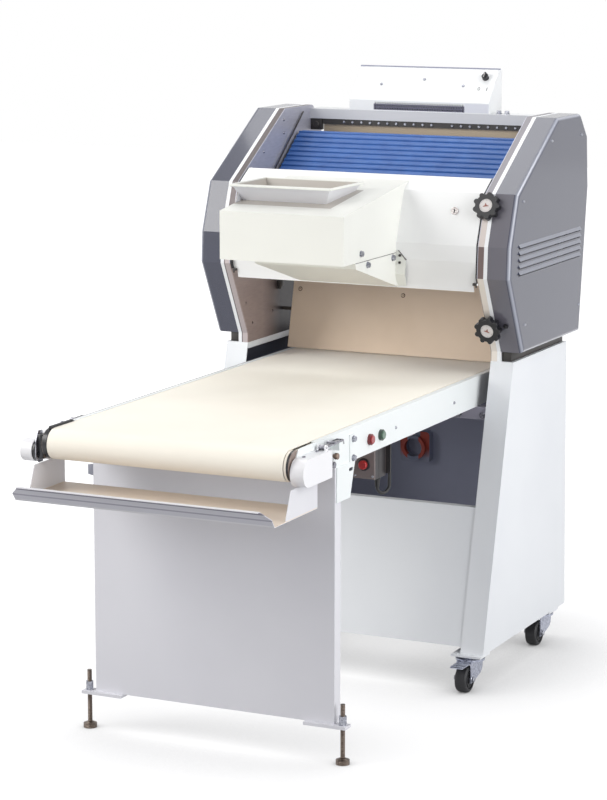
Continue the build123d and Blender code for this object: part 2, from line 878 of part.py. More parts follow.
# End blocks with ears for the toggle latches, a round cap on the left one, and the latch levers
for name, side in sides.items():
    ear_places = (latch_x - latch_width / 2 - latch_ear / 2, latch_x + latch_width / 2 + latch_ear / 2)
    with BuildPart() as end_block:
        with BuildSketch(Plane.YZ.offset(side * rail_half)):
            with Locations((block_rear_y, block_middle)):
                block_length = block_rear + block_noses[name]
                block = Rectangle(block_length, block_height, align=(Align.MAX, Align.CENTER))
            fillet(block.vertices().group_by(Axis.X)[0], block_nose_radius)
        extrude(amount=side * block_width)
        if side < 0:
            with BuildSketch(Plane.YZ.offset(cap_lap - rail_half - block_width)):
                with Locations((front_axis[0] - cap_forward, block_middle - cap_drop)):
                    Circle(cap_diameter / 2)
            extrude(amount=-cap_length)
        for ear_x in ear_places:
            with BuildSketch(Plane.YZ.offset(side * ear_x - latch_ear / 2)):
                with Locations((latch_pivot_y, block_top)):
                    Rectangle(latch_ear_height, 2 * latch_pin_height)
                with Locations((latch_pivot_y, latch_pivot_z)):
                    Circle(latch_ear_height / 2)
                    Circle(latch_pin_diameter / 2 + running_gap, mode=Mode.SUBTRACT)
            extrude(amount=latch_ear)
    save(end_block, f"end_block_{name}")

    with BuildPart() as latch:
        with BuildSketch(Plane.YZ.offset(side * latch_x - latch_width / 2 - latch_ear)):
            with Locations((latch_pivot_y, latch_pivot_z)):
                Circle(latch_pin_diameter / 2)
        extrude(amount=latch_width + 2 * latch_ear)
        with BuildSketch(Plane.YZ.offset(side * latch_x - latch_width / 2 + latch_side_gap)):
            with Locations((latch_pivot_y, latch_pivot_z)):
                Circle(latch_pin_diameter / 2 + latch_barrel)
            Polygon(
                (latch_pivot_y, latch_pivot_z - latch_thickness / 2),
                (latch_pivot_y, latch_pivot_z + latch_thickness / 2),
                (latch_tip_y, latch_pivot_z + latch_thickness / 2),
                (latch_tip_y + latch_hook, latch_pivot_z - latch_hook_drop),
                (latch_tip_y + latch_hook - latch_thickness, latch_pivot_z - latch_hook_drop),
                (latch_tip_y - latch_thickness / 2, latch_pivot_z - latch_thickness / 2),
                align=None,
            )
        extrude(amount=latch_width - 2 * latch_side_gap)
    save(latch, f"latch_lever_{name}")

# Conveyor leg: a bent panel with plates for the feet, and brackets up to the rails
panel_y = head_y + leg_panel_y
foot_x = rail_half + foot_reach
foot_y = panel_y + foot_y_offset
with BuildPart() as leg_panel:
    with BuildSketch(Plane.XY.offset(leg_panel_bottom)):
        with Locations((0, panel_y)):
            Rectangle(2 * rail_half, leg_panel_flange, align=(Align.CENTER, Align.MIN))
        with Locations((0, panel_y + panel_thickness)):
            Rectangle(
                2 * (rail_half - panel_thickness),
                leg_panel_flange,
                align=(Align.CENTER, Align.MIN),
                mode=Mode.SUBTRACT,
            )
    extrude(amount=rail_bottom - leg_panel_bottom)
    for side in sides.values():
        plate_middle = rail_half + (foot_plate_reach - foot_plate_lap) / 2
        with Locations((side * plate_middle, foot_y, leg_panel_bottom)):
            Box(
                foot_plate_reach + foot_plate_lap,
                leg_panel_flange,
                foot_plate_thickness,
                align=(Align.CENTER, Align.CENTER, Align.MAX),
            )
        with Locations((side * foot_x, foot_y, leg_panel_bottom)):
            Cylinder(foot_rod_diameter / 2 + running_gap, 2 * foot_plate_thickness, mode=Mode.SUBTRACT)
save(leg_panel, "leg_panel")

bracket_rear_y = panel_y + bracket_setback + bracket_length
bracket_bolt_y = bracket_rear_y - bracket_bolt_inset
with BuildPart() as leg_brackets:
    for side in sides.values():
        with BuildSketch(Plane.YZ.offset(side * rail_half)):
            Polygon(
                (panel_y + bracket_setback, rail_bottom - bracket_drop),
                (bracket_rear_y - bracket_taper, rail_bottom - bracket_drop),
                (bracket_rear_y, rail_bottom),
                (bracket_rear_y, rail_bottom + bracket_tab_rise),
                (bracket_rear_y - bracket_tab_width, rail_bottom + bracket_tab_rise),
                (bracket_rear_y - bracket_tab_width, rail_bottom),
                (panel_y + bracket_setback, rail_bottom),
                align=None,
            )
            with Locations((bracket_bolt_y - bracket_bolt_inset, rail_bottom - bracket_slot_drop)):
                SlotOverall(bracket_slot_length, bracket_slot_width, mode=Mode.SUBTRACT)
        extrude(amount=side * bracket_thickness)
save(leg_brackets, "leg_brackets")

# Levelling feet: threaded rods with round pads
for name, side in sides.items():
    with BuildPart() as foot:
        with Locations((side * foot_x, foot_y, 0)):
            Cylinder(foot_pad_diameter / 2, foot_pad_height, align=center_low)
            Cylinder(foot_rod_diameter / 2, foot_rod_top, align=center_low)
        with Locations((side * foot_x, foot_y, foot_pad_height)):
            Cone(foot_pad_diameter / 2, foot_rod_diameter / 2, foot_cone_height, align=center_low)
    save(foot, f"levelling_foot_{name}")

# Catch tray: floor, side plates and a flared front lip with a hem
tray_half = rail_half + tray_overhang
tray_floor = block_bottom - tray_drop
tray_rear_y = block_rear_y - tray_rear_inset
tray_front_y = tray_rear_y - tray_depth
lip_plane = Plane(
    (0, tray_front_y, tray_floor),
    x_dir=(1, 0, 0),
    z_dir=(0, -sin(radians(tray_lip_angle)), -cos(radians(tray_lip_angle))),
)
lip_top_y = tray_front_y - lip_run
lip_top_z = tray_floor + lip_rise
with BuildPart() as tray:
    with BuildSketch(Plane.XY.offset(tray_floor)):
        with Locations((0, (tray_front_y + tray_rear_y) / 2)):
            Rectangle(2 * tray_half, tray_depth)
    extrude(amount=tray_wall)
    for side in sides.values():
        with BuildSketch(Plane.YZ.offset(side * (tray_half - tray_wall))):
            Polygon(
                (tray_front_y + tray_side_inset, tray_floor),
                (tray_front_y + tray_side_inset + tray_front_rake, block_bottom),
                (tray_rear_y, block_bottom),
                (tray_rear_y, tray_floor),
                align=None,
            )
        extrude(amount=side * tray_wall)
    with BuildSketch(lip_plane):
        Polygon(
            (-tray_half, 0),
            (tray_half, 0),
            (tray_half, tray_lip_length - tray_corner_cut),
            (tray_half - tray_corner_cut, tray_lip_length),
            (-tray_half + tray_corner_cut, tray_lip_length),
            (-tray_half, tray_lip_length - tray_corner_cut),
            align=None,
        )
    extrude(amount=-tray_wall)
    with Locations((0, lip_top_y + tray_wall, lip_top_z)):
        Box(
            2 * (tray_half - tray_corner_cut),
            tray_hem + tray_wall,
            tray_wall,
            align=(Align.CENTER, Align.MAX, Align.CENTER),
        )
save(tray, "catch_tray")

# Push buttons on the right rail, each in its own bezel
with BuildPart() as bezels:
    with BuildSketch(Plane.YZ.offset(rail_half)):
        for button_y in button_places.values():
            with Locations((button_y, button_z)):
                Circle(bezel_diameter / 2)
                Circle(button_diameter / 2 + seat_gap, mode=Mode.SUBTRACT)
    extrude(amount=bezel_rise)
save(bezels, "button_bezels")

for name, button_y in button_places.items():
    with BuildPart() as button:
        with BuildSketch(Plane.YZ.offset(rail_half - button_depth)):
            with Locations((button_y, button_z)):
                Circle(button_diameter / 2)
        extrude(amount=button_depth + button_rise)
        fillet(button.faces().sort_by(Axis.X)[-1].edges(), button_edge_radius)
    save(button, f"button_{name}")

# Control box on a hanger under the right rail
box_right = rail_half - box_inset
box_x = box_right - box_width / 2
box_top = rail_bottom - box_hang
box_bottom = box_top - box_height
box_front = head_y + box_front_y
box_rear = box_front + box_depth
box_centre = (box_x, (box_front + box_rear) / 2, (box_top + box_bottom) / 2)
hanger_left = box_right + hanger_reach - hanger_width
hanger_right = rail_half - hanger_edge
hanger_low = box_bottom + hanger_foot
corner_low = (Align.MIN, Align.MIN, Align.MIN)
stop_face = Plane((box_x + stop_offset, box_front, box_bottom + stop_height), z_dir=(0, -1, 0))
with BuildPart() as control_box:
    with Locations(box_centre):
        Box(box_width, box_depth, box_height)
    fillet(control_box.edges().filter_by(Axis.Z), box_edge_radius)
    with Locations(box_centre):
        Box(*[size - 2 * box_wall for size in (box_width, box_depth, box_height)], mode=Mode.SUBTRACT)
    with BuildSketch(stop_face):
        Circle(stop_stem_diameter / 2 + seat_gap)
    extrude(amount=-box_wall, mode=Mode.SUBTRACT)
    with Locations((hanger_left, box_rear, hanger_low)):
        Box(hanger_width, hanger_thickness, rail_bottom - hanger_low, align=corner_low)
    with Locations((hanger_left, box_rear, rail_bottom - hanger_thickness)):
        Box(hanger_right - hanger_left, hanger_flange, hanger_thickness, align=corner_low)
save(control_box, "control_box")

with BuildPart() as stop_button:
    with BuildSketch(stop_face.offset(stop_gap)):
        Circle(stop_diameter / 2)
    extrude(amount=stop_head)
    fillet(stop_button.faces().sort_by(Axis.Y)[0].edges(), stop_edge_radius)
    with BuildSketch(stop_face.offset(-stop_stem_depth)):
        Circle(stop_stem_diameter / 2)
    extrude(amount=stop_stem_depth + stop_gap)
save(stop_button, "stop_button")

# Lead from the control box: out of a gland, in a short loop and up under the hanger
gland_end = Vector(box_right - gland_side_inset, box_rear - gland_rear_inset, box_bottom - gland_length)
loop_start = gland_end - Vector(0, 0, lead_drop)
loop_end = loop_start + Vector(lead_shift, lead_run, 0)
lead_end = Vector(loop_end.X, loop_end.Y, rail_bottom - hanger_thickness)
with BuildPart() as control_cable:
    with BuildLine():
        FilletPolyline(gland_end, loop_start, loop_end, lead_end, radius=lead_bend)
    with BuildSketch(Plane(gland_end, z_dir=(0, 0, -1))):
        Circle(lead_diameter / 2)
    sweep()
    with BuildSketch(Plane(gland_end)):
        Circle(gland_diameter / 2)
    extrude(amount=gland_length)
save(control_cable, "control_cable")

# Hood over the front of the head: a folded sheet with side returns and the infeed opening
hood_line = [(front_at(z), z) for z in (hood_bottom, hood_knee, mid_knee, high_knee, hood_top)]
hood_back = [(y + hood_return, z) for y, z in reversed(hood_line)]
hood_inner = [(y + hood_sheet, z) for y, z in hood_line]
hood_beyond = [(y + 2 * hood_return, z) for y, z in reversed(hood_line)]
hopper_right = hopper_left + hopper_width
chute_left = hopper_right - chute_width
opening_left = chute_left + hopper_wall + hood_opening_margin
opening_right = hopper_right - hopper_wall - hood_opening_margin
lock_place = (hood_half - lock_edge_inset, front_at(lock_z), lock_z)
lock_plane = Plane(lock_place, x_dir=(1, 0, 0), z_dir=front_normal(lock_z))
with BuildPart() as hood:
    with BuildSketch(Plane.YZ.offset(-hood_half)):
        Polygon(*hood_line, *hood_back, align=None)
    extrude(amount=2 * hood_half)
    with BuildSketch(Plane.YZ.offset(-(hood_half - hood_sheet))):
        Polygon(*hood_inner, *hood_beyond, align=None)
    extrude(amount=2 * (hood_half - hood_sheet), mode=Mode.SUBTRACT)
    with Locations((opening_left, head_y - hood_return, hood_bottom + hood_opening_bottom)):
        Box(
            opening_right - opening_left,
            high_setback + 2 * hood_return,
            hood_opening_height,
            align=corner_low,
            mode=Mode.SUBTRACT,
        )
    with BuildSketch(lock_plane):
        Circle(lock_body_diameter / 2 + running_gap)
    extrude(amount=-hood_return, mode=Mode.SUBTRACT)
    for side in sides.values():
        with Locations((side * hood_half, head_y, hood_bottom)):
            Box(
                2 * hood_notch_width,
                2 * (bottom_setback + hood_return),
                2 * hood_notch_height,
                mode=Mode.SUBTRACT,
            )
save(hood, "hood")

# Key lock in the hood
with BuildPart() as hood_lock:
    with BuildSketch(lock_plane):
        Circle(lock_flange_diameter / 2)
    extrude(amount=lock_flange_rise)
    with BuildSketch(lock_plane):
        Circle(lock_body_diameter / 2)
    extrude(amount=-lock_body_length)
    with BuildSketch(lock_plane.offset(lock_flange_rise)):
        Rectangle(key_slot_width, key_slot_length)
    extrude(amount=-key_slot_depth, mode=Mode.SUBTRACT)
save(hood_lock, "hood_lock")

# Hopper box on the hood, with the feed funnel in its top
hopper_front = head_y - hopper_reach
hopper_rear = hood_back[0][0]
hopper_rear_top = hopper_top + hopper_top_slope * (hopper_rear - hopper_front)
hood_block = [*hood_line, (hopper_rear, hood_top), (hopper_rear, hood_bottom)]
chute_front_y = head_y - chute_front
rim_z = hopper_top + funnel_rise
throat_z = rim_z - funnel_depth
rim_left = hopper_left - funnel_left_inset
rim_front = head_y - funnel_front
rim_centre = (rim_left + funnel_width / 2, rim_front + funnel_length / 2)
throat_width = funnel_width - funnel_left_taper - funnel_right_taper
throat_length = funnel_length - funnel_front_taper - funnel_back_taper
throat_centre = (
    rim_left + funnel_left_taper + throat_width / 2,
    rim_front + funnel_front_taper + throat_length / 2,
)
with BuildPart() as hopper:
    with BuildSketch(Plane.YZ.offset(hopper_left)):
        Polygon(
            (hopper_front, hopper_bottom),
            (hopper_front, hopper_top),
            (hopper_rear, hopper_rear_top),
            (hopper_rear, hopper_bottom),
            align=None,
        )
    extrude(amount=hopper_width)
    with BuildSketch(Plane.YZ.offset(hopper_left + hopper_wall)):
        Polygon(
            (hopper_front + hopper_wall, hopper_bottom + hopper_wall),
            (hopper_front + hopper_wall, hopper_top - hopper_wall),
            (hopper_rear, hopper_rear_top - hopper_wall),
            (hopper_rear, hopper_bottom + hopper_wall),
            align=None,
        )
    extrude(amount=hopper_width - 2 * hopper_wall, mode=Mode.SUBTRACT)
    with Locations((chute_left + hopper_wall, chute_front_y + hopper_wall, hopper_bottom)):
        Box(
            chute_width - 2 * hopper_wall,
            hopper_rear - chute_front_y,
            hopper_wall,
            align=corner_low,
            mode=Mode.SUBTRACT,
        )
    for grow, mode in ((hopper_wall, Mode.ADD), (0, Mode.SUBTRACT)):
        with BuildSketch(Plane.XY.offset(throat_z)):
            with Locations(throat_centre):
                Rectangle(throat_width + 2 * grow, throat_length + 2 * grow)
        with BuildSketch(Plane.XY.offset(rim_z)):
            with Locations(rim_centre):
                Rectangle(funnel_width + 2 * grow, funnel_length + 2 * grow)
        loft(mode=mode)
    with BuildSketch(Plane.XY.offset(rim_z - hopper_wall)):
        with Locations(rim_centre):
            Rectangle(funnel_width + 2 * funnel_lip, funnel_length + 2 * funnel_lip)
            Rectangle(funnel_width, funnel_length, mode=Mode.SUBTRACT)
    extrude(amount=hopper_wall)
    with BuildSketch(Plane.YZ.offset(-hood_half)):
        Polygon(*hood_block, align=None)
    extrude(amount=2 * hood_half, mode=Mode.SUBTRACT)
save(hopper, "hopper")

# Chute under the hopper, running down to the opening in the hood
chute_bottom = hood_bottom + chute_lift
chute_toe = (chute_front_y + chute_front_lean, hopper_bottom - chute_front_drop)
with BuildPart() as chute:
    with BuildSketch(Plane.YZ.offset(chute_left)):
        Polygon(
            (chute_front_y, hopper_bottom),
            chute_toe,
            (front_at(chute_bottom), chute_bottom),
            (hopper_rear, chute_bottom),
            (hopper_rear, hopper_bottom),
            align=None,
        )
    extrude(amount=chute_width)
    with BuildSketch(Plane.YZ.offset(chute_left + hopper_wall)):
        Polygon(
            (chute_front_y + hopper_wall, hopper_bottom),
            (chute_toe[0] + hopper_wall, chute_toe[1] + hopper_wall),
            (front_at(chute_bottom), chute_bottom + hopper_wall),
            (hopper_rear, chute_bottom + hopper_wall),
            (hopper_rear, hopper_bottom),
            align=None,
        )
    extrude(amount=chute_width - 2 * hopper_wall, mode=Mode.SUBTRACT)
    with BuildSketch(Plane.YZ.offset(-hood_half)):
        Polygon(*hood_block, align=None)
    extrude(amount=2 * hood_half, mode=Mode.SUBTRACT)
save(chute, "chute")

# Adjusting knobs on their spindles, with a dial let into each face
for name, knob_plane in knob_planes.items():
    knob_back = knob_plane.offset(knob_boss_rises[name] + seat_gap)
    with BuildPart() as knob:
        with BuildSketch(knob_back) as star:
            Circle(knob_radius - knob_lobe_radius)
            with PolarLocations(knob_radius - knob_lobe_radius, knob_lobes):
                Circle(knob_lobe_radius)
            fillet(star.vertices(), knob_valley_radius)
        extrude(amount=knob_thickness)
        knob_front = knob.faces().sort_by(Axis(knob_back.origin, knob_back.z_dir))[-1]
        fillet(knob_front.edges(), knob_edge_radius)
        with BuildSketch(knob_back.offset(knob_thickness)):
            Circle(dial_diameter / 2 + dial_fit)
        extrude(amount=-dial_recess, mode=Mode.SUBTRACT)
        with BuildSketch(knob_back):
            Circle(spindle_diameter / 2)
        extrude(amount=-(spindle_length - spindle_end_gap))
    save(knob, f"knob_{name}")

    with BuildPart() as dial:
        with BuildSketch(knob_back.offset(knob_thickness - dial_recess)):
            Circle(dial_diameter / 2)
        extrude(amount=dial_thickness)
    save(dial, f"dial_{name}")

# Crossbar between the side plates, with the comb strip and the felt behind its front flange
bar_y = head_y + crossbar_y
bar_top = side_top - crossbar_drop
with BuildPart() as crossbar:
    with BuildSketch(Plane.YZ.offset(-inner_half)):
        with Locations((bar_y, bar_top)):
            Rectangle(crossbar_depth, crossbar_flange, align=(Align.MIN, Align.MAX))
        with Locations((bar_y + crossbar_sheet, bar_top - crossbar_sheet)):
            Rectangle(
                crossbar_depth - 2 * crossbar_sheet,
                crossbar_flange,
                align=(Align.MIN, Align.MAX),
                mode=Mode.SUBTRACT,
            )
    extrude(amount=inner_width)
save(crossbar, "top_crossbar")

comb_top = bar_top - crossbar_sheet
comb_bottom = bar_top - crossbar_flange - comb_drop
comb_half = inner_half - comb_end_gap
comb_front = bar_y + crossbar_sheet
with BuildPart() as comb:
    with Locations((-comb_half, comb_front, comb_bottom)):
        Box(2 * comb_half, comb_thickness, comb_top - comb_bottom, align=corner_low)
save(comb, "comb_strip")

with BuildPart() as felt:
    with Locations((-comb_half, comb_front + comb_thickness, comb_bottom - felt_drop)):
        Box(2 * comb_half, felt_thickness, comb_top - comb_bottom + felt_drop, align=corner_low)
save(felt, "felt_wiper")

# Ribbed infeed belt and its two rollers
feed_half = inner_half - feed_side_gap
feed_turn = pi * feed_outer_radius
feed_loop = 2 * (feed_length + feed_turn)
rib_count = round(feed_loop / feed_rib_pitch)


def feed_rib(distance):
    """Centre (y, z) of a rib at a distance along the loop, which starts at the foot of the upper run."""
    along, across, turn = distance, feed_outer_radius, 0
    if distance > 2 * feed_length + feed_turn:
        turn = pi + (distance - 2 * feed_length - feed_turn) / feed_outer_radius
        along = 0
    elif distance > feed_length + feed_turn:
        turn = pi
        along = 2 * feed_length + feed_turn - distance
    elif distance > feed_length:
        turn = (distance - feed_length) / feed_outer_radius
        along = feed_length
    out = radians(feed_angle) + pi / 2 - turn
    y = feed_lower[0] + slope[0] * along + across * cos(out)
    z = feed_lower[1] + slope[1] * along + across * sin(out)
    return (y, z)


with BuildPart() as feed_belt:
    with BuildSketch(Plane.YZ.offset(-feed_half)):
        slot_face(feed_lower, feed_upper, feed_outer_radius)
        with Locations(*[feed_rib(rib * feed_loop / rib_count) for rib in range(rib_count)]):
            Circle(feed_rib_radius)
        slot_face(feed_lower, feed_upper, feed_inner_radius, Mode.SUBTRACT)
    extrude(amount=2 * feed_half)
save(feed_belt, "feed_belt")

for name, centre in {"upper": feed_upper, "lower": feed_lower}.items():
    drum_half = feed_half - feed_drum_gap
    axle_half = inner_half + plate_web
    with BuildPart() as feed_roller:
        with BuildSketch(Plane.YZ.offset(-drum_half)):
            with Locations(centre):
                Circle(feed_roller_diameter / 2)
        extrude(amount=2 * drum_half)
        with BuildSketch(Plane.YZ.offset(-axle_half)):
            with Locations(centre):
                Circle(feed_axle_diameter / 2)
        extrude(amount=2 * axle_half)
    save(feed_roller, f"feed_roller_{name}")

# Pressure board, leaning back over the belt on a rod between the side plates, with its screw heads
lean = radians(board_lean)
board_plane = Plane(
    (0, head_y + board_y, belt_top + board_gap), x_dir=(1, 0, 0), z_dir=(0, sin(lean), cos(lean))
)
board_face = Plane(board_plane.origin, x_dir=(1, 0, 0), z_dir=(0, -cos(lean), sin(lean)))
rod_place = board_plane.from_local_coords((0, board_thickness / 2, board_rod_lift))
rod_half = inner_half - seat_gap
board_half = inner_half - board_end_gap
board_screw_places = (
    board_screw_left_inset - board_half,
    board_screw_offset,
    board_half - board_screw_right_inset,
)
with BuildPart() as board:
    with BuildSketch(board_plane):
        Rectangle(2 * board_half, board_thickness, align=(Align.CENTER, Align.MIN))
    extrude(amount=board_height)
    with BuildSketch(Plane.YZ.offset(-rod_half)):
        with Locations((rod_place.Y, rod_place.Z)):
            Circle(board_rod_diameter / 2)
    extrude(amount=2 * rod_half)
    with BuildSketch(board_face):
        for screw_x in board_screw_places:
            with Locations((screw_x, board_height - board_screw_drop)):
                Circle(screw_head_diameter / 2)
    extrude(amount=screw_head_height)
save(board, "pressure_board")

# Blower box on the crossbar, with a grille in its lip and a switch on its slope
blower_slope = hypot(blower_run, blower_rise)
blower_along = (blower_run / blower_slope, blower_rise / blower_slope)
blower_outline = [
    (bar_y, bar_top),
    (bar_y, bar_top + blower_lip),
    (bar_y + blower_run, bar_top + blower_lip + blower_rise),
    (bar_y + blower_run + blower_top, bar_top + blower_lip + blower_rise),
    (bar_y + blower_run + blower_top, bar_top),
]
blower_middle = blower_left + blower_width / 2


def blower_place(x, distance):
    """Plane on the sloping face of the blower box, at a distance up from its lower edge."""
    y = bar_y + blower_along[0] * distance
    z = bar_top + blower_lip + blower_along[1] * distance
    return Plane((x, y, z), x_dir=(1, 0, 0), z_dir=(0, -blower_along[1], blower_along[0]))


grille_plane = Plane(
    (blower_middle + grille_offset, bar_y, bar_top + grille_height), x_dir=(1, 0, 0), z_dir=(0, -1, 0)
)
switch_plane = blower_place(switch_x, switch_along)
with BuildPart() as blower:
    with BuildSketch(Plane.YZ.offset(blower_left)):
        Polygon(*blower_outline, align=None)
    extrude(amount=blower_width)
    with BuildSketch(Plane.YZ.offset(blower_left + blower_sheet)):
        Polygon(*blower_outline, align=None)
        offset(amount=-blower_sheet, kind=Kind.INTERSECTION, mode=Mode.REPLACE)
    extrude(amount=blower_width - 2 * blower_sheet, mode=Mode.SUBTRACT)
    with BuildSketch(grille_plane):
        with GridLocations(grille_pitch, grille_pitch, grille_columns, grille_rows):
            Circle(grille_hole / 2)
    extrude(amount=-2 * blower_sheet, mode=Mode.SUBTRACT)
    with BuildSketch(switch_plane):
        Circle(switch_shaft_diameter / 2 + running_gap)
    extrude(amount=-2 * blower_sheet, mode=Mode.SUBTRACT)
save(blower, "blower_box")

with BuildPart() as switch:
    with BuildSketch(switch_plane.offset(seat_gap)):
        Circle(switch_diameter / 2)
    extrude(amount=switch_height)
    with BuildSketch(switch_plane.offset(switch_height)):
        Rectangle(switch_grip_width, switch_diameter)
    extrude(amount=switch_grip_height)
    with BuildSketch(switch_plane.offset(seat_gap)):
        Circle(switch_shaft_diameter / 2)
    extrude(amount=-switch_shaft_length)
save(switch, "fan_switch")

# Mains inlet on the front face of the back panel
inlet_z = leg_bottom + inlet_lift
inlet_y = edge_at(leg_rear_line, inlet_z) - rear_lap - panel_thickness
inlet_normal = (0, -leg_height, leg_rear_top - leg_rear_foot)
inlet_plane = Plane((inlet_x, inlet_y, inlet_z), x_dir=(1, 0, 0), z_dir=inlet_normal)
with BuildPart() as inlet:
    with BuildSketch(inlet_plane):
        RectangleRounded(inlet_flange, inlet_flange, inlet_corner)
    extrude(amount=inlet_flange_height)
    with BuildSketch(inlet_plane):
        Circle(inlet_ring / 2)
    extrude(amount=inlet_ring_height)
    with BuildSketch(inlet_plane.offset(inlet_ring_height)):
        Circle(inlet_bore / 2)
    extrude(amount=-inlet_bore_depth, mode=Mode.SUBTRACT)
save(inlet, "mains_inlet")

# Pan-head screws: side covers, comb strip, blower box and rails
cover_rows = (
    (side_top - cover_screw_top_drop, cover_screw_inset),
    (side_bottom + cover_screw_low_lift, cover_screw_rear_inset),
)
cover_heights = (cover_rows[0][0], high_knee - cover_screw_knee_drop, cover_rows[1][0])
cover_places = [(front_at(z) + cover_screw_inset, z) for z in cover_heights]
cover_places += [(edge_at(rear_edge, z) - inset, z) for z, inset in cover_rows]
screw_planes = []
for side in sides.values():
    for place_y, place_z in cover_places:
        screw_planes.append(Plane((side * cover_half, place_y, place_z), z_dir=(side, 0, 0)))
    for place_y in rail_screw_places:
        rail_place = (side * rail_half, head_y + place_y, rail_bottom + rail_screw_height)
        screw_planes.append(Plane(rail_place, z_dir=(side, 0, 0)))
comb_columns = [comb_first_x + comb_screw_pitch * column for column in range(comb_left_screws)]
comb_columns += [comb_right_x + comb_screw_pitch * column for column in range(comb_right_screws)]
for column in comb_columns:
    comb_place = (column, comb_front, comb_bottom + comb_drop / 2)
    screw_planes.append(Plane(comb_place, z_dir=(0, -1, 0)))
for place_x, distance in blower_screw_places.items():
    screw_planes.append(blower_place(place_x, distance))
with BuildPart() as pan_screws:
    with Locations(*screw_planes):
        Cone(screw_head_diameter / 2, screw_tip_diameter / 2, screw_head_height, align=center_low)
save(pan_screws, "pan_screws")

# Hex bolts with washers on the leg brackets, hopper and chute, and the nuts of the levelling feet
bolt_planes = []
for side in sides.values():
    for bolt_z in (bracket_bolt_height, bracket_bolt_height + bracket_bolt_pitch):
        bolt_place = (side * (rail_half + bracket_thickness), bracket_bolt_y, rail_bottom + bolt_z)
        bolt_planes.append(Plane(bolt_place, z_dir=(side, 0, 0)))
hopper_bolt_y = hopper_front + hopper_bolt_setback
for side, wall_x in ((-1, hopper_left), (1, hopper_right)):
    hopper_bolt = (wall_x, hopper_bolt_y, hopper_bottom + hopper_bolt_lift)
    bolt_planes.append(Plane(hopper_bolt, z_dir=(side, 0, 0)))
for side, wall_x in ((-1, chute_left), (1, hopper_right)):
    for place_y in chute_bolt_places:
        chute_bolt = (wall_x, head_y + place_y, hopper_bottom - chute_bolt_drop)
        bolt_planes.append(Plane(chute_bolt, z_dir=(side, 0, 0)))
nut_radius = foot_nut_size / 2
with BuildPart() as hex_bolts:
    for bolt_plane in bolt_planes:
        with BuildSketch(bolt_plane):
            Circle(washer_diameter / 2)
        extrude(amount=washer_thickness)
        with BuildSketch(bolt_plane.offset(washer_thickness)):
            RegularPolygon(hex_size / 2, 6, major_radius=False)
        extrude(amount=hex_height)
    for side in sides.values():
        with BuildSketch(Plane.XY.offset(leg_panel_bottom)):
            with Locations((side * foot_x, foot_y)):
                RegularPolygon(nut_radius, 6, major_radius=False)
                Circle(foot_rod_diameter / 2 + running_gap, mode=Mode.SUBTRACT)
        extrude(amount=foot_nut_count * foot_nut_height)
save(hex_bolts, "hex_bolts")
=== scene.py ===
# %% [markdown]
# This lesson dresses a dough moulder. The solids come ready made, in metres, with the floor at
# zero, X to the right, Y to the back and Z up, so everything that is added is placed by the
# same measurements.

# %% Load the machine
import json
import math
import bmesh
import bpy
from mathutils import Matrix, Vector


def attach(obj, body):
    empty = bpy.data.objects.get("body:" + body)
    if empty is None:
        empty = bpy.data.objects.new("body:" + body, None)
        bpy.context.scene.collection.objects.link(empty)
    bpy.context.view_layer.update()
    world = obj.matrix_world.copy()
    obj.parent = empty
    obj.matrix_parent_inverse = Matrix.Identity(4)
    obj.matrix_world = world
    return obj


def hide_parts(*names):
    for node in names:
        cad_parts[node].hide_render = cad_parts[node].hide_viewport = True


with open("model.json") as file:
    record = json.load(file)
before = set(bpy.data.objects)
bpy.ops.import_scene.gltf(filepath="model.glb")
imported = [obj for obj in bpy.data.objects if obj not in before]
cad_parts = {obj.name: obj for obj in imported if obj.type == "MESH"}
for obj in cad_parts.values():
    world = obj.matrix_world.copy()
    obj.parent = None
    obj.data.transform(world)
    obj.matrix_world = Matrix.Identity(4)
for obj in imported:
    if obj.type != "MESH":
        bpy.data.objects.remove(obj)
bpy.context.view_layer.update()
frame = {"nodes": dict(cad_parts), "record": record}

nodes = frame["nodes"]
scene = bpy.context.scene

# %% [markdown]
# The photograph was taken with a long lens from the front right, a little above the hopper. A
# camera is set by its place, by how far it turns from the Y axis and by how far it looks down.
# The lens is given for a 36 mm picture height, since the picture stands upright.

# %% Camera
camera_data = bpy.data.cameras.new("camera")
camera_data.sensor_fit = "VERTICAL"
camera_data.sensor_height = 36.0
camera_data.lens = 121.56
camera = bpy.data.objects.new("camera", camera_data)
camera.location = (3.13183, -6.54062, 2.14246)
look_down, turn_aside = 0.1797, 0.4464
camera.rotation_euler = (math.pi / 2 - look_down, 0.0, turn_aside)
scene.collection.objects.link(camera)
scene.camera = camera
print("camera set with a lens of", round(camera_data.lens, 1), "mm")

# %% [markdown]
# A studio floor that fades into white needs no backdrop. Most of the floor's white is a glow that
# only the camera and reflections see. It fades where the machine stands close over the floor, which
# paints a soft shadow there, and a darker diffuse surface under it catches the shadows of the lamps.
# The world is white to the camera and to reflections, and softer as a light. A few helpers make the
# small sums between shader nodes.


# %% Helpers for node sums
def calculated(tree, operation, first, second=None):
    """Result of a sum on one or two sockets."""
    result = tree.nodes.new("ShaderNodeMath")
    result.operation = operation
    for socket, entry in zip((first, second), result.inputs):
        if socket is not None:
            tree.links.new(socket, entry)
    return result.outputs[0]


def scaled(tree, socket, low, high, start=0.0, end=1.0):
    """Socket that runs from low to high as the given one runs from start to end."""
    reach = tree.nodes.new("ShaderNodeMapRange")
    for entry, value in (("From Min", start), ("From Max", end), ("To Min", low), ("To Max", high)):
        reach.inputs[entry].default_value = value
    tree.links.new(socket, reach.inputs["Value"])
    return reach.outputs["Result"]


def object_place(tree):
    """Coordinates on the object, in metres."""
    return tree.nodes.new("ShaderNodeTexCoord").outputs["Object"]


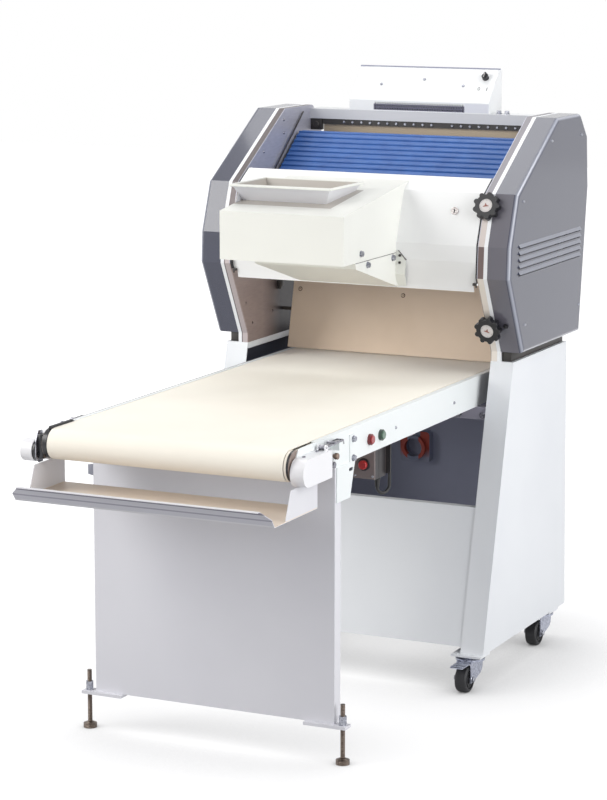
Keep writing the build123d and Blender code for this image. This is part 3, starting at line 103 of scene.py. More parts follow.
def seen_directly(tree):
    """Socket that is 1 for rays that show the background itself or its reflection."""
    path = tree.nodes.new("ShaderNodeLightPath").outputs
    plain = calculated(tree, "MAXIMUM", path["Is Camera Ray"], path["Is Glossy Ray"])
    return calculated(tree, "MAXIMUM", plain, path["Is Transmission Ray"])


print("node sums ready")

# %% Floor
floor_mesh = bpy.data.meshes.new("floor")
floor_shape = bmesh.new()
bmesh.ops.create_grid(floor_shape, x_segments=1, y_segments=1, size=15.0)
floor_shape.to_mesh(floor_mesh)
floor_shape.free()
floor = bpy.data.objects.new("floor", floor_mesh)
scene.collection.objects.link(floor)
floor_paint = bpy.data.materials.new("floor_paint")
floor_paint.use_nodes = True
floor_tree = floor_paint.node_tree
floor_tree.nodes.clear()
floor_shade = floor_tree.nodes.new("ShaderNodeMix")
floor_shade.data_type = "RGBA"
floor_shade.inputs[6].default_value = (0.34, 0.34, 0.35, 1.0)
floor_shade.inputs[7].default_value = (0.26, 0.26, 0.265, 1.0)
floor_tree.links.new(seen_directly(floor_tree), floor_shade.inputs[0])
floor_diffuse = floor_tree.nodes.new("ShaderNodeBsdfDiffuse")
floor_tree.links.new(floor_shade.outputs[2], floor_diffuse.inputs["Color"])

# The glow is strong under open sky and fades where the machine covers the floor, a painted
# shadow; it grows a little with the distance from the machine
floor_open = floor_tree.nodes.new("ShaderNodeAmbientOcclusion")
floor_open.samples = 8
floor_open.inputs["Distance"].default_value = 0.4
floor_distance = floor_tree.nodes.new("ShaderNodeVectorMath")
floor_distance.operation = "LENGTH"
floor_tree.links.new(object_place(floor_tree), floor_distance.inputs[0])
near_glow = scaled(floor_tree, floor_open.outputs["AO"], 0.0, 0.82)
far_glow = scaled(floor_tree, floor_distance.outputs["Value"], 0.0, 0.3, start=1.0, end=2.2)
far_glow.node.interpolation_type = "SMOOTHSTEP"
both_glows = calculated(floor_tree, "ADD", near_glow, far_glow)
floor_level = calculated(floor_tree, "MULTIPLY", both_glows, seen_directly(floor_tree))
floor_glow = floor_tree.nodes.new("ShaderNodeEmission")
floor_tree.links.new(floor_level, floor_glow.inputs["Strength"])
floor_sum = floor_tree.nodes.new("ShaderNodeAddShader")
floor_tree.links.new(floor_diffuse.outputs[0], floor_sum.inputs[0])
floor_tree.links.new(floor_glow.outputs[0], floor_sum.inputs[1])
floor_out = floor_tree.nodes.new("ShaderNodeOutputMaterial")
floor_tree.links.new(floor_sum.outputs[0], floor_out.inputs["Surface"])
floor_mesh.materials.append(floor_paint)
print("floor ready")

# %% World
world = bpy.data.worlds.new("studio")
scene.world = world
world.use_nodes = True
world_tree = world.node_tree
sky_light = world_tree.nodes["Background"]
sky_light.inputs["Color"].default_value = (0.96, 0.96, 1.0, 1.0)
sky_light.inputs["Strength"].default_value = 0.34
sky_white = world_tree.nodes.new("ShaderNodeBackground")
sky_white.inputs["Color"].default_value = (1.0, 1.0, 1.0, 1.0)
sky_mix = world_tree.nodes.new("ShaderNodeMixShader")
world_tree.links.new(seen_directly(world_tree), sky_mix.inputs[0])
world_tree.links.new(sky_light.outputs[0], sky_mix.inputs[1])
world_tree.links.new(sky_white.outputs[0], sky_mix.inputs[2])
world_tree.links.new(sky_mix.outputs[0], world_tree.nodes["World Output"].inputs["Surface"])
print("world ready")

# %% [markdown]
# The tray throws a soft slanting shadow on the leg panel from the left, and the right-hand faces
# are the brightest, so a tall lamp stands at the front left and another at the right. A small lamp
# overhead draws the shadow under the conveyor, and one behind the right shoulder puts a bright line on
# the rounded edge of the cover. Large area lamps give soft shadow edges.


# %% Lamps
def softbox(name, place, target, width, height, power, colour):
    """Flat area lamp at a place, turned to a target."""
    lamp_data = bpy.data.lights.new(name, "AREA")
    lamp_data.shape = "RECTANGLE"
    lamp_data.size = width
    lamp_data.size_y = height
    lamp_data.energy = power
    lamp_data.color = colour
    lamp = bpy.data.objects.new(name, lamp_data)
    lamp.location = place
    lamp.rotation_euler = (Vector(target) - Vector(place)).to_track_quat("-Z", "Y").to_euler()
    scene.collection.objects.link(lamp)
    print("lamp", name, power, "W")


softbox("left_lamp", (-2.95, -2.7, 2.7), (0.0, -0.4, 0.8), 2.2, 3.4, 146.0, (1.0, 0.99, 0.97))
softbox("front_fill", (2.2, -5.0, 1.7), (0.1, 0.0, 0.7), 2.5, 2.5, 26.0, (1.0, 1.0, 1.0))
softbox("right_lamp", (4.2, -0.7, 2.0), (0.2, 0.0, 0.8), 2.8, 3.8, 132.0, (1.0, 1.0, 1.0))
softbox("top_lamp", (-0.45, 1.2, 3.8), (0.1, 0.2, 0.8), 1.8, 1.8, 24.0, (1.0, 1.0, 1.0))
softbox("rim_lamp", (2.8, 1.9, 4.2), (0.4, 0.4, 1.3), 0.9, 1.8, 30.0, (1.0, 1.0, 1.0))

# Standard shows colours as they are written
scene.view_settings.view_transform = "Standard"

# %% [markdown]
# Every finish is a set of shader nodes on object coordinates, which are metres here, so a scale
# of 700 makes spots of a millimetre or two. A few helpers keep the finishes short: one starts a
# finish and keeps it under its name, others make a cloudy or a banded pattern, mix two colours with
# it, raise a bump, or give a finish another colour inside a box. Colours are written as a screen
# shows them, from 0 to 255.


# %% Helpers for finishes
finish = {}


def tone(red, green, blue):
    """Linear colour from the 0 to 255 values that a screen shows."""
    linear = []
    for value in (red, green, blue):
        part = value / 255.0
        linear.append(part / 12.92 if part <= 0.04045 else ((part + 0.055) / 1.055) ** 2.4)
    return (*linear, 1.0)


def new_finish(name, metallic=0.0):
    """Start a finish and give its node tree, its shader and its object coordinates."""
    finish[name] = bpy.data.materials.new(name)
    finish[name].use_nodes = True
    tree = finish[name].node_tree
    shader = tree.nodes["Principled BSDF"]
    shader.inputs["Metallic"].default_value = metallic
    return tree, shader, object_place(tree)


def stretched(tree, place, x, y, z):
    """Coordinates scaled differently along each axis."""
    mapping = tree.nodes.new("ShaderNodeMapping")
    mapping.inputs["Scale"].default_value = (x, y, z)
    tree.links.new(place, mapping.inputs["Vector"])
    return mapping.outputs["Vector"]


def clouds(tree, place, scale, detail=3.0):
    """Cloudy pattern from 0 to 1."""
    pattern = tree.nodes.new("ShaderNodeTexNoise")
    pattern.inputs["Scale"].default_value = scale
    pattern.inputs["Detail"].default_value = detail
    tree.links.new(place, pattern.inputs["Vector"])
    return pattern.outputs["Fac"]


def waves(tree, place, direction, scale, distortion):
    """Bands from 0 to 1 across one axis."""
    pattern = tree.nodes.new("ShaderNodeTexWave")
    pattern.bands_direction = direction
    pattern.inputs["Scale"].default_value = scale
    pattern.inputs["Distortion"].default_value = distortion
    tree.links.new(place, pattern.inputs["Vector"])
    return pattern.outputs["Fac"]


def steps(tree, socket, low, high):
    """Socket that rises from 0 to 1 as the given one goes from low to high."""
    return scaled(tree, socket, 0.0, 1.0, low, high)


def mixed(tree, amount, first, second):
    """Colour that goes from the first to the second; each is a screen colour or a socket."""
    mix = tree.nodes.new("ShaderNodeMix")
    mix.data_type = "RGBA"
    tree.links.new(amount, mix.inputs[0])
    for colour, entry in ((first, mix.inputs[6]), (second, mix.inputs[7])):
        if isinstance(colour, tuple):
            entry.default_value = tone(*colour)
        else:
            tree.links.new(colour, entry)
    return mix.outputs[2]


def raised(tree, shader, height, distance):
    """Bump of the given depth in metres on a shader."""
    bump = tree.nodes.new("ShaderNodeBump")
    bump.inputs["Strength"].default_value = 1.0
    bump.inputs["Distance"].default_value = distance
    tree.links.new(height, bump.inputs["Height"])
    tree.links.new(bump.outputs["Normal"], shader.inputs["Normal"])


def painted(name, light, dark, roughness, cloud=2.5, grain=600.0, depth=0.00005, coat=0.0):
    """Paint or moulded plastic: a cloudy colour, a fine-grained skin and a patchy shine."""
    tree, shader, place = new_finish(name)
    patches = clouds(tree, place, cloud)
    colour = mixed(tree, steps(tree, patches, 0.3, 0.7), dark, light)
    tree.links.new(colour, shader.inputs["Base Color"])
    shine = clouds(tree, place, 9.0)
    tree.links.new(scaled(tree, shine, roughness - 0.08, roughness + 0.08), shader.inputs["Roughness"])
    raised(tree, shader, clouds(tree, place, grain, 2.0), depth)
    shader.inputs["Coat Weight"].default_value = coat
    shader.inputs["Coat Roughness"].default_value = 0.15


def metal(name, light, dark, roughness, stretch=(1.0, 1.0, 1.0), grain=90.0):
    """Bare metal with fine marks drawn out along one way."""
    tree, shader, place = new_finish(name, metallic=1.0)
    marks = clouds(tree, stretched(tree, place, *stretch), grain, 5.0)
    tree.links.new(mixed(tree, steps(tree, marks, 0.3, 0.7), dark, light), shader.inputs["Base Color"])
    tree.links.new(scaled(tree, marks, roughness - 0.08, roughness + 0.1), shader.inputs["Roughness"])
    raised(tree, shader, marks, 0.00003)


def split(tree, vector):
    """X, Y and Z of a vector."""
    axes = tree.nodes.new("ShaderNodeSeparateXYZ")
    tree.links.new(vector, axes.inputs[0])
    return axes.outputs


def surface_normal(tree):
    """X, Y and Z of the way that the surface looks."""
    return split(tree, tree.nodes.new("ShaderNodeNewGeometry").outputs["Normal"])


def within(tree, socket, low, high, blur=0.0004):
    """Socket that is 1 where the given one lies between low and high."""
    above = steps(tree, socket, low - blur, low + blur)
    below = steps(tree, socket, high + blur, high - blur)
    return calculated(tree, "MULTIPLY", above, below)


def region(tree, x=None, y=None, z=None, outwards=False, upward=False):
    """Socket that is 1 inside a box; outwards measures X from the middle on both sides, and upward
    keeps only the faces that look up."""
    axes = split(tree, object_place(tree))
    across = calculated(tree, "ABSOLUTE", axes["X"]) if outwards else axes["X"]
    inside = None
    for socket, reach in ((across, x), (axes["Y"], y), (axes["Z"], z)):
        if reach:
            band = within(tree, socket, *reach)
            inside = band if inside is None else calculated(tree, "MULTIPLY", inside, band)
    if upward:
        inside = calculated(tree, "MULTIPLY", inside, steps(tree, surface_normal(tree)["Z"], 0.1, 0.2))
    return inside


def recoloured(name, colour, **limits):
    """Give a finish another colour inside a box."""
    tree = finish[name].node_tree
    entry = tree.nodes["Principled BSDF"].inputs["Base Color"]
    tree.links.new(mixed(tree, region(tree, **limits), entry.links[0].from_socket, colour), entry)


print("finish helpers ready")

# %% [markdown]
# Powder coat covers most of the machine. It is white with a faint cloudiness and the skin of an
# orange, and each group of panels gets its own slightly different white, as real batches do. Most
# boxes of another colour paint shade on folds, edges, recesses and faces that look down; others give
# parts such as the crossmember and the crossbar a greyer paint.

# %% White paints
painted("stand_paint", (235, 238, 241), (229, 232, 236), 0.38)
# Painted shade: the inner face of each leg's outer wall, seen through the opening at its top, is dark
# slate
recoloured("stand_paint", (78, 80, 92), x=(0.4435, 0.4466), y=(0.4350, 0.8500), z=(0.7000, 0.8960),
           outwards=True)
painted("rail_paint", (240, 244, 244), (234, 239, 239), 0.36)
# Painted shade line along the outer top edge of the left rail
recoloured("rail_paint", (148, 146, 148), x=(-0.3495, -0.3440), z=(0.8515, 0.8550))
painted("leg_paint", (225, 225, 230), (218, 218, 224), 0.4)
# Painted shade on the small lip of the left bracket
recoloured("leg_paint", (140, 142, 154), x=(-0.3665, -0.3475), y=(-0.5402, -0.5360),
           z=(0.6840, 0.7180))
recoloured("leg_paint", (150, 148, 162), x=(-0.4475, 0.4475), y=(0.3970, 0.4350), z=(0.7310, 0.7690))
painted("tray_paint", (226, 226, 230), (218, 218, 223), 0.4)
recoloured("tray_paint", (228, 214, 199), y=(-0.9080, -0.6710), z=(0.6930, 0.6950))
# Painted shade on the tray's front lip, which faces down: a grey face, a dark band under its hem and a
# darker line across its middle
recoloured("tray_paint", (206, 206, 214), y=(-0.9540, -0.9125), z=(0.6900, 0.7322))
recoloured("tray_paint", (132, 130, 144), y=(-0.9420, -0.9250), z=(0.7258, 0.7322))
recoloured("tray_paint", (160, 158, 172), y=(-0.9420, -0.9150), z=(0.7090, 0.7130))
painted("hood_paint", (243, 244, 244), (238, 239, 240), 0.36)
painted("hopper_paint", (235, 236, 230), (229, 230, 224), 0.38)
# Painted shade on the funnel: a cool grey on its outer walls, which face down, and a darker tan on its
# inner walls, deep in the funnel
funnel_walls = {"x": (-0.2450, 0.0600), "y": (0.0460, 0.2650), "z": (1.3370, 1.3985)}
recoloured("hopper_paint", (226, 227, 232), **funnel_walls)
recoloured("hopper_paint", (182, 176, 168), upward=True, **funnel_walls)
painted("top_paint", (241, 243, 243), (236, 238, 239), 0.36)
recoloured("top_paint", (208, 209, 212), z=(1.5200, 1.5518))
recoloured("top_paint", (92, 92, 112), x=(-0.171, 0.121), y=(0.840, 0.8475), z=(1.5545, 1.5725))
recoloured("top_paint", (222, 224, 231), x=(0.121, 0.2000), y=(0.830, 0.8475), z=(1.5540, 1.5805))
painted("block_plastic", (241, 241, 243), (235, 235, 238), 0.3, grain=300.0)
print("white paints:", len(finish))

# %% [markdown]
# The side covers have a grey metallic paint. Its flakes are a fine noise that shifts the colour
# and the shine by a little, under a thin clear coat. On rounded edges a painted highlight makes the
# paint brighter: there the surface turns from the front to the side, which its normal shows.


# %% Cover paint and slate paint
def flake_paint(name, light, dark):
    """Grey metallic paint under a clear coat."""
    tree, shader, place = new_finish(name)
    flakes = clouds(tree, place, 2600.0, 1.0)
    patches = clouds(tree, place, 3.0)
    base = mixed(tree, steps(tree, patches, 0.3, 0.7), dark, light)
    bright = mixed(tree, steps(tree, flakes, 0.55, 0.8), base, (86, 89, 108))
    # Painted highlight: where the normal turns between the front and the side the colour is made
    # brighter
    lean = calculated(tree, "ABSOLUTE", surface_normal(tree)["X"])
    turning = calculated(tree, "MULTIPLY", steps(tree, lean, 0.15, 0.6), steps(tree, lean, 0.98, 0.8))
    edge_highlight = mixed(tree, scaled(tree, turning, 0.0, 0.75), bright, (176, 180, 194))
    tree.links.new(edge_highlight, shader.inputs["Base Color"])
    tree.links.new(scaled(tree, flakes, 0.30, 0.44), shader.inputs["Roughness"])
    raised(tree, shader, clouds(tree, place, 420.0, 2.0), 0.00004)
    shader.inputs["Specular IOR Level"].default_value = 0.2
    shader.inputs["Coat Weight"].default_value = 0.7
    shader.inputs["Coat IOR"].default_value = 1.7
    shader.inputs["Coat Roughness"].default_value = 0.09


flake_paint("cover_paint", (54, 57, 77), (48, 51, 70))
# Painted light: the right cover's front facets below the upper knee are lighter and warmer
recoloured("cover_paint", (96, 94, 104), x=(0.4100, 0.4662), z=(0.9200, 1.3725))
painted("slate_paint", (152, 155, 176), (142, 145, 166), 0.5)
print("cover paint and slate paint ready")

# %% [markdown]
# The side plates show two bands on their front edge: bare metal on the inside and white paint on
# the outside. Light and shade on the metal are painted from bend to bend, so a list gives a lighter
# or darker colour for each height. The inner faces are bluish above, brownish below, and a painted
# shade darkens them towards the back of the head.


# %% Side plate metal
def plate_finish():
    """Satin metal that turns into white paint on the outer part of the plate."""
    tree, shader, place = new_finish("plate_metal")
    marks = clouds(tree, stretched(tree, place, 1.0, 0.15, 1.0), 220.0, 4.0)
    grain = steps(tree, marks, 0.25, 0.75)
    bare = mixed(tree, grain, (166, 166, 177), (180, 180, 191))
    low = region(tree, z=(0.8900, 1.1420))
    bare = mixed(tree, low, bare, mixed(tree, grain, (158, 143, 140), (170, 155, 151)))
    # Painted shade: the lower inner faces turn dark towards the back of the head
    head_shade = calculated(tree, "MULTIPLY", low, steps(tree, split(tree, place)["Y"], 0.520, 0.640))
    bare = mixed(tree, head_shade, bare, (46, 42, 44))
    # Painted light and shade on the front edges: each bend gets a lighter or darker colour, the left
    # edge darker than the right
    right, left = (0.3830, 0.4000), (-0.4000, -0.3830)
    bands = ((right, 0.8900, 1.1430, (226, 219, 211)), (right, 1.1430, 1.2310, (112, 96, 94)),
             (right, 1.2310, 1.3730, (188, 179, 175)), (right, 1.3730, 1.5700, (126, 123, 128)),
             (left, 0.8900, 1.2310, (176, 166, 166)), (left, 1.2310, 1.5700, (98, 91, 91)))
    for across, low_z, high_z, colour in bands:
        bare = mixed(tree, region(tree, x=across, z=(low_z, high_z)), bare, colour)
    paint = region(tree, x=(0.4000, 0.4200), outwards=True)
    colour = mixed(tree, paint, bare, (241, 243, 246))
    colour = mixed(tree, region(tree, x=(-0.4005, -0.3975)), colour, (96, 88, 90))
    tree.links.new(colour, shader.inputs["Base Color"])
    tree.links.new(scaled(tree, paint, 0.35, 0.0), shader.inputs["Metallic"])
    tree.links.new(scaled(tree, marks, 0.36, 0.48), shader.inputs["Roughness"])
    raised(tree, shader, marks, 0.00002)


plate_finish()
print("side plate metal ready")

# %% [markdown]
# Small hardware is zinc plated, stainless or dark steel. Zinc shows a mosaic of tiny crystals,
# so its pattern comes from a cell texture; the others have drawn-out marks. The feet get a thread.


# %% Zinc and steels
def zinc_finish(name, light, dark, roughness):
    """Zinc plating with a fine crystal mosaic."""
    tree, shader, place = new_finish(name, metallic=0.85)
    cells = tree.nodes.new("ShaderNodeTexVoronoi")
    cells.inputs["Scale"].default_value = 260.0
    tree.links.new(place, cells.inputs["Vector"])
    shade = tree.nodes.new("ShaderNodeSeparateColor")
    tree.links.new(cells.outputs["Color"], shade.inputs[0])
    tree.links.new(mixed(tree, shade.outputs[0], dark, light), shader.inputs["Base Color"])
    shine = scaled(tree, shade.outputs[1], roughness - 0.08, roughness + 0.08)
    tree.links.new(shine, shader.inputs["Roughness"])
    raised(tree, shader, clouds(tree, place, 500.0), 0.00003)


zinc_finish("zinc", (188, 192, 206), (146, 150, 166), 0.34)
zinc_finish("fastener", (176, 178, 186), (128, 130, 140), 0.3)
metal("latch_steel", (170, 170, 177), (108, 108, 117), 0.26, (1.0, 0.1, 1.0))
metal("foot_steel", (138, 125, 115), (82, 73, 68), 0.3, (1.0, 1.0, 6.0))
foot_tree = finish["foot_steel"].node_tree
thread = waves(foot_tree, object_place(foot_tree), "Z", 150.0, 0.0)
raised(foot_tree, foot_tree.nodes["Principled BSDF"], thread, 0.0008)
metal("roller_metal", (202, 203, 207), (180, 181, 186), 0.35, (8.0, 1.0, 1.0))
metal("lock_metal", (196, 192, 190), (112, 106, 106), 0.25, grain=400.0)
print("metals ready")

# %% [markdown]
# Rubber and most of the moulded plastic are dark and matt, with a fine grain from the mould. The
# push buttons are glossy. Each gets a slight change of shade, so that none is one flat colour.

# %% Rubber and plastics
painted("tyre", (32, 32, 36), (22, 22, 26), 0.55, cloud=30.0, grain=900.0, depth=0.0001)
painted("carrier_plastic", (34, 34, 39), (22, 22, 26), 0.26, cloud=60.0)
recoloured("carrier_plastic", (238, 230, 216), x=(0.3300, 0.3382))
recoloured("carrier_plastic", (136, 120, 112), x=(0.3445, 0.3460), outwards=True)
painted("comb_black", (52, 48, 46), (38, 35, 34), 0.5, cloud=14.0)
painted("knob_black", (22, 22, 27), (14, 14, 18), 0.36, cloud=25.0, grain=1200.0)
painted("switch_black", (46, 46, 50), (34, 34, 37), 0.4, cloud=40.0)
painted("bezel", (70, 86, 78), (58, 74, 66), 0.35, cloud=40.0)
recoloured("bezel", (116, 44, 48), y=(-0.360, -0.300))
painted("lead_black", (17, 17, 20), (11, 11, 13), 0.5, cloud=40.0)
painted("box_plastic", (138, 127, 126), (126, 116, 115), 0.45, cloud=12.0)
# Painted shade on the right face of the control box
recoloured("box_plastic", (46, 43, 45), x=(0.2804, 0.3000))
painted("button_red", (160, 44, 50), (142, 34, 42), 0.28, cloud=60.0, coat=0.3)
painted("stop_red", (198, 56, 54), (176, 44, 46), 0.3, cloud=60.0, coat=0.3)
painted("button_green", (98, 128, 110), (84, 112, 96), 0.3, cloud=60.0, coat=0.3)
painted("dial_face", (222, 218, 216), (206, 201, 199), 0.25, cloud=90.0, coat=0.5)
painted("inlet_plastic", (176, 74, 60), (150, 62, 52), 0.5, cloud=30.0)
recoloured("inlet_plastic", (122, 128, 150), x=(-0.0390, -0.0030))
recoloured("inlet_plastic", (138, 141, 162), y=(0.8262, 0.8700))
painted("board_plastic", (234, 213, 190), (225, 203, 179), 0.5, cloud=5.0)
# Painted shade on both ends of the pressure board, next to the side plates
recoloured("board_plastic", (58, 51, 48), x=(0.3506, 0.3900), outwards=True)
print("plastics ready")

# %% [markdown]
# The outfeed belt is a woven cloth with a cream coating. Two sets of waves, one along each
# thread, multiply into a weave of about a millimetre; a larger cloud leaves faint flour marks.


# %% Belt cloth, felt and ribbed rubber
def woven(name, light, dark, thread, depth, roughness):
    """Coated cloth with a weave in X and Y."""
    tree, shader, place = new_finish(name)
    weave = [waves(tree, place, direction, thread, 0.6) for direction in ("X", "Y")]
    patches = steps(tree, clouds(tree, place, 3.0, 4.0), 0.3, 0.7)
    tree.links.new(mixed(tree, patches, dark, light), shader.inputs["Base Color"])
    tree.links.new(scaled(tree, patches, roughness - 0.06, roughness + 0.06), shader.inputs["Roughness"])
    raised(tree, shader, calculated(tree, "MULTIPLY", *weave), depth)
    shader.inputs["Sheen Weight"].default_value = 0.1


woven("belt_cloth", (250, 246, 234), (245, 239, 226), 180.0, 0.0001, 0.62)
woven("felt", (206, 190, 164), (190, 172, 146), 240.0, 0.0004, 0.85)
painted("ribbed_rubber", (54, 102, 172), (43, 88, 156), 0.42, cloud=20.0, grain=500.0)
print("belts ready")

# %% [markdown]
# Each solid names the finish that it wants, and the finishes have the same names, so one loop puts
# them on.

# %% Put the finishes on the solids
for subpart in frame["record"]["subparts"]:
    nodes[subpart["node"]].material_slots[0].material = finish[subpart["material_slot"]]

# %% [markdown]
# The solids carry the machine's shapes. What follows adds the small hardware that sits on them.
# Helpers make almost all of it: a box with rounded edges, a turned solid, an outline that is pushed
# into a solid, a curve with a round section, heads and washers, and a last step that makes the
# object, smooths it and hangs it on a body.


# %% Helpers for pieces
to_top, to_front, to_right = (0.0, 0.0, 1.0), (0.0, -1.0, 0.0), (1.0, 0.0, 0.0)
sides = ((-1, "left"), (1, "right"))
sharp_angle = math.radians(35)


def join(shape, part):
    """Move the faces of one mesh under construction into another."""
    carrier = bpy.data.meshes.new("carrier")
    part.to_mesh(carrier)
    part.free()
    shape.from_mesh(carrier)
    bpy.data.meshes.remove(carrier)


def move(shape, place):
    """Carry a whole mesh under construction to its place."""
    bmesh.ops.transform(shape, matrix=place, verts=shape.verts[:])


def rounded(part, edge):
    """Round every edge by the given radius."""
    bmesh.ops.bevel(part, geom=part.edges[:], offset=edge, offset_type="OFFSET", affect="EDGES",
                    segments=2, profile=0.5, material=-1)


def add_block(shape, corner, opposite, edge):
    """Box between two corners, with rounded edges."""
    middle = (Vector(corner) + Vector(opposite)) / 2
    sizes = [abs(first - second) for first, second in zip(corner, opposite)]
    place = Matrix.Translation(middle) @ Matrix.Diagonal((*sizes, 1.0))
    part = bmesh.new()
    bmesh.ops.create_cube(part, size=1.0, matrix=place)
    rounded(part, edge)
    join(shape, part)


def add_pair(shape, corner, opposite, edge):
    """The same box on the left and on the right of the machine."""
    for side in (-1, 1):
        add_block(shape, (side * corner[0], *corner[1:]), (side * opposite[0], *opposite[1:]), edge)


def add_turned(shape, outline, place, turns=32):
    """Solid spun from an outline of radius and height, stood at its place."""
    part = bmesh.new()
    rim = [part.verts.new((radius, 0.0, height)) for radius, height in outline]
    line = [part.edges.new(pair) for pair in zip(rim, rim[1:])]
    bmesh.ops.spin(part, geom=rim + line, cent=(0, 0, 0), axis=(0, 0, 1), angle=math.tau, steps=turns,
                   use_merge=True)
    bmesh.ops.remove_doubles(part, verts=part.verts[:], dist=0.000001)
    move(part, place)
    join(shape, part)


def add_prism(shape, corners, along, edge=0.0):
    """Flat outline pushed along a way into a solid."""
    part = bmesh.new()
    face = part.faces.new([part.verts.new(corner) for corner in corners])
    pushed = bmesh.ops.extrude_face_region(part, geom=[face])
    far_end = [item for item in pushed["geom"] if isinstance(item, bmesh.types.BMVert)]
    bmesh.ops.translate(part, verts=far_end, vec=along)
    bmesh.ops.recalc_face_normals(part, faces=part.faces[:])
    if edge:
        rounded(part, edge)
    join(shape, part)


def facing(place, direction):
    """Matrix that stands a turned solid at a place, with its axis along a direction."""
    return Matrix.Translation(place) @ Vector(direction).to_track_quat("Z", "Y").to_matrix().to_4x4()


def add_screw(shape, place, direction, radius):
    """Pan head with a cupped middle."""
    outline = [(0.0, radius * 0.42), (radius * 0.3, radius * 0.42), (radius * 0.38, radius * 0.62),
               (radius * 0.7, radius * 0.55), (radius * 0.95, radius * 0.3), (radius, 0.0), (0.0, 0.0)]
    add_turned(shape, outline, facing(place, direction), turns=20)


def add_hex(shape, place, direction, across, height):
    """Hexagon head with a chamfered top."""
    corner = across / math.sqrt(3)
    outline = [(0.0, 0.0), (corner, 0.0), (corner, height * 0.86), (corner * 0.9, height), (0.0, height)]
    add_turned(shape, outline, facing(place, direction), turns=6)


def add_washer(shape, place, direction, radius, height, turns=24):
    """Flat disc."""
    outline = [(0.0, height), (radius, height), (radius, 0.0), (0.0, 0.0)]
    add_turned(shape, outline, facing(place, direction), turns)


def round_curve(name, kind, route, radius, smoothness):
    """Curve with a round section along a route, and its one line."""
    curve = bpy.data.curves.new(name, "CURVE")
    curve.dimensions = "3D"
    curve.bevel_depth = radius
    curve.bevel_resolution = smoothness
    line = curve.splines.new(kind)
    line.points.add(len(route) - 1)
    for point, place in zip(line.points, route):
        point.co = (*place, 1.0)
    return curve, line


def add_piece(name, shape, slot, body="machine", paint=None):
    """Make the object from its shape, give it a finish and hang it on a body."""
    bmesh.ops.recalc_face_normals(shape, faces=shape.faces[:])
    mesh = bpy.data.meshes.new(name)
    shape.to_mesh(mesh)
    shape.free()
    mesh.polygons.foreach_set("use_smooth", [True] * len(mesh.polygons))
    mesh.set_sharp_from_angle(angle=sharp_angle)
    mesh.materials.append(finish[paint or slot])
    piece = bpy.data.objects.new(name, mesh)
    scene.collection.objects.link(piece)
    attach(piece, body)
    print("made", name, "with", len(mesh.polygons), "faces on", body)
    return piece


print("piece helpers ready")

# %% [markdown]
# The front edge of the head is bent three times. Its corners are written once, as Y behind the
# head's front line and Z, so that strips and clips can follow it at any height. The hood's knob and
# lock stand square on the slope between the two upper bends.

# %% Front line of the head
head = 0.309965
front_line = [(0.112, 0.925), (0.0, 1.143), (0.005, 1.231), (0.057, 1.373), (0.364, 1.562)]
hood_normal = (0.0, -0.939, 0.344)


def front_at(height):
    """Y of the head's front edge at a height."""
    for (low_y, low_z), (high_y, high_z) in zip(front_line, front_line[1:]):
        if height <= high_z:
            return head + low_y + (high_y - low_y) * (height - low_z) / (high_z - low_z)
    return head + front_line[-1][0]


print("front edge at the upper knee:", round(front_at(1.373), 4))

# %% [markdown]
# A black rubber strip fills the narrow gap between the hood and each side plate, and a small black
# clip sits in each notch of the hood's lower corners. The strip is one outline along the front
# line, pushed across the gap, so it stays a little behind the faces beside it.

# %% Hood strips and clips
hood_strip = bmesh.new()
for side in (-1, 1):
    strip_front = [(side * 0.3763, front_at(z) + 0.0015, z) for z in (1.128, 1.143, 1.231, 1.373, 1.406)]
    strip_back = [(x, y + 0.010, z) for x, y, z in reversed(strip_front)]
    add_prism(hood_strip, strip_front + strip_back, (side * 0.0044, 0.0, 0.0))
add_piece("hood_strip", hood_strip, "tyre")

hood_clips = bmesh.new()
clip_y = front_at(1.125)
add_pair(hood_clips, (0.3652, clip_y - 0.0015, 1.1215), (0.3758, clip_y + 0.0060, 1.1285), 0.0008)
add_pair(hood_clips, (0.3735, clip_y + 0.0010, 1.1150), (0.3758, clip_y + 0.0060, 1.1230), 0.0005)
add_piece("hood_clips", hood_clips, "comb_black")

# %% [markdown]
# Between the covers and the legs runs a recessed black sill, which stands in for the shade in the
# gap. It is a plain rail set back on all sides, so that the gap reads as a dark line. A narrow lip
# stands on the inside of each leg's top.

# %% Sills under the covers
sills = bmesh.new()
add_pair(sills, (0.4115, head + 0.120, 0.8972), (0.440, head + 0.532, 0.9248), 0.001)
add_piece("cover_sills", sills, "comb_black")

leg_lips = bmesh.new()
add_pair(leg_lips, (0.3812, head + 0.117, 0.8790), (0.3842, head + 0.536, 0.8968), 0.0008)
add_piece("leg_lips", leg_lips, "stand_paint")

# %% [markdown]
# The dials under the knobs' caps are printed discs. A ring of fine ticks and one pointer are enough
# to show how far a knob has been turned, so they ride on the knob. They are made flat on the floor
# and then stood up on the dial's face with one matrix.


# %% Dial ticks and pointers
painted("needle_brown", (152, 92, 78), (136, 80, 68), 0.4, cloud=80.0)
painted("tick_grey", (92, 82, 82), (80, 70, 70), 0.5, cloud=80.0)
tick_count = 24
tick_end = 0.0172
arrow = ((0.0082, -0.0030), (0.0082, -0.0012), (0.0030, 0.0006), (0.0, 0.0078), (-0.0030, 0.0006),
         (-0.0082, -0.0012), (-0.0082, -0.0030))
pivot = ((0.0, 0.0012), (0.0018, 0.001), (0.0024, 0.0), (0.0, 0.0))


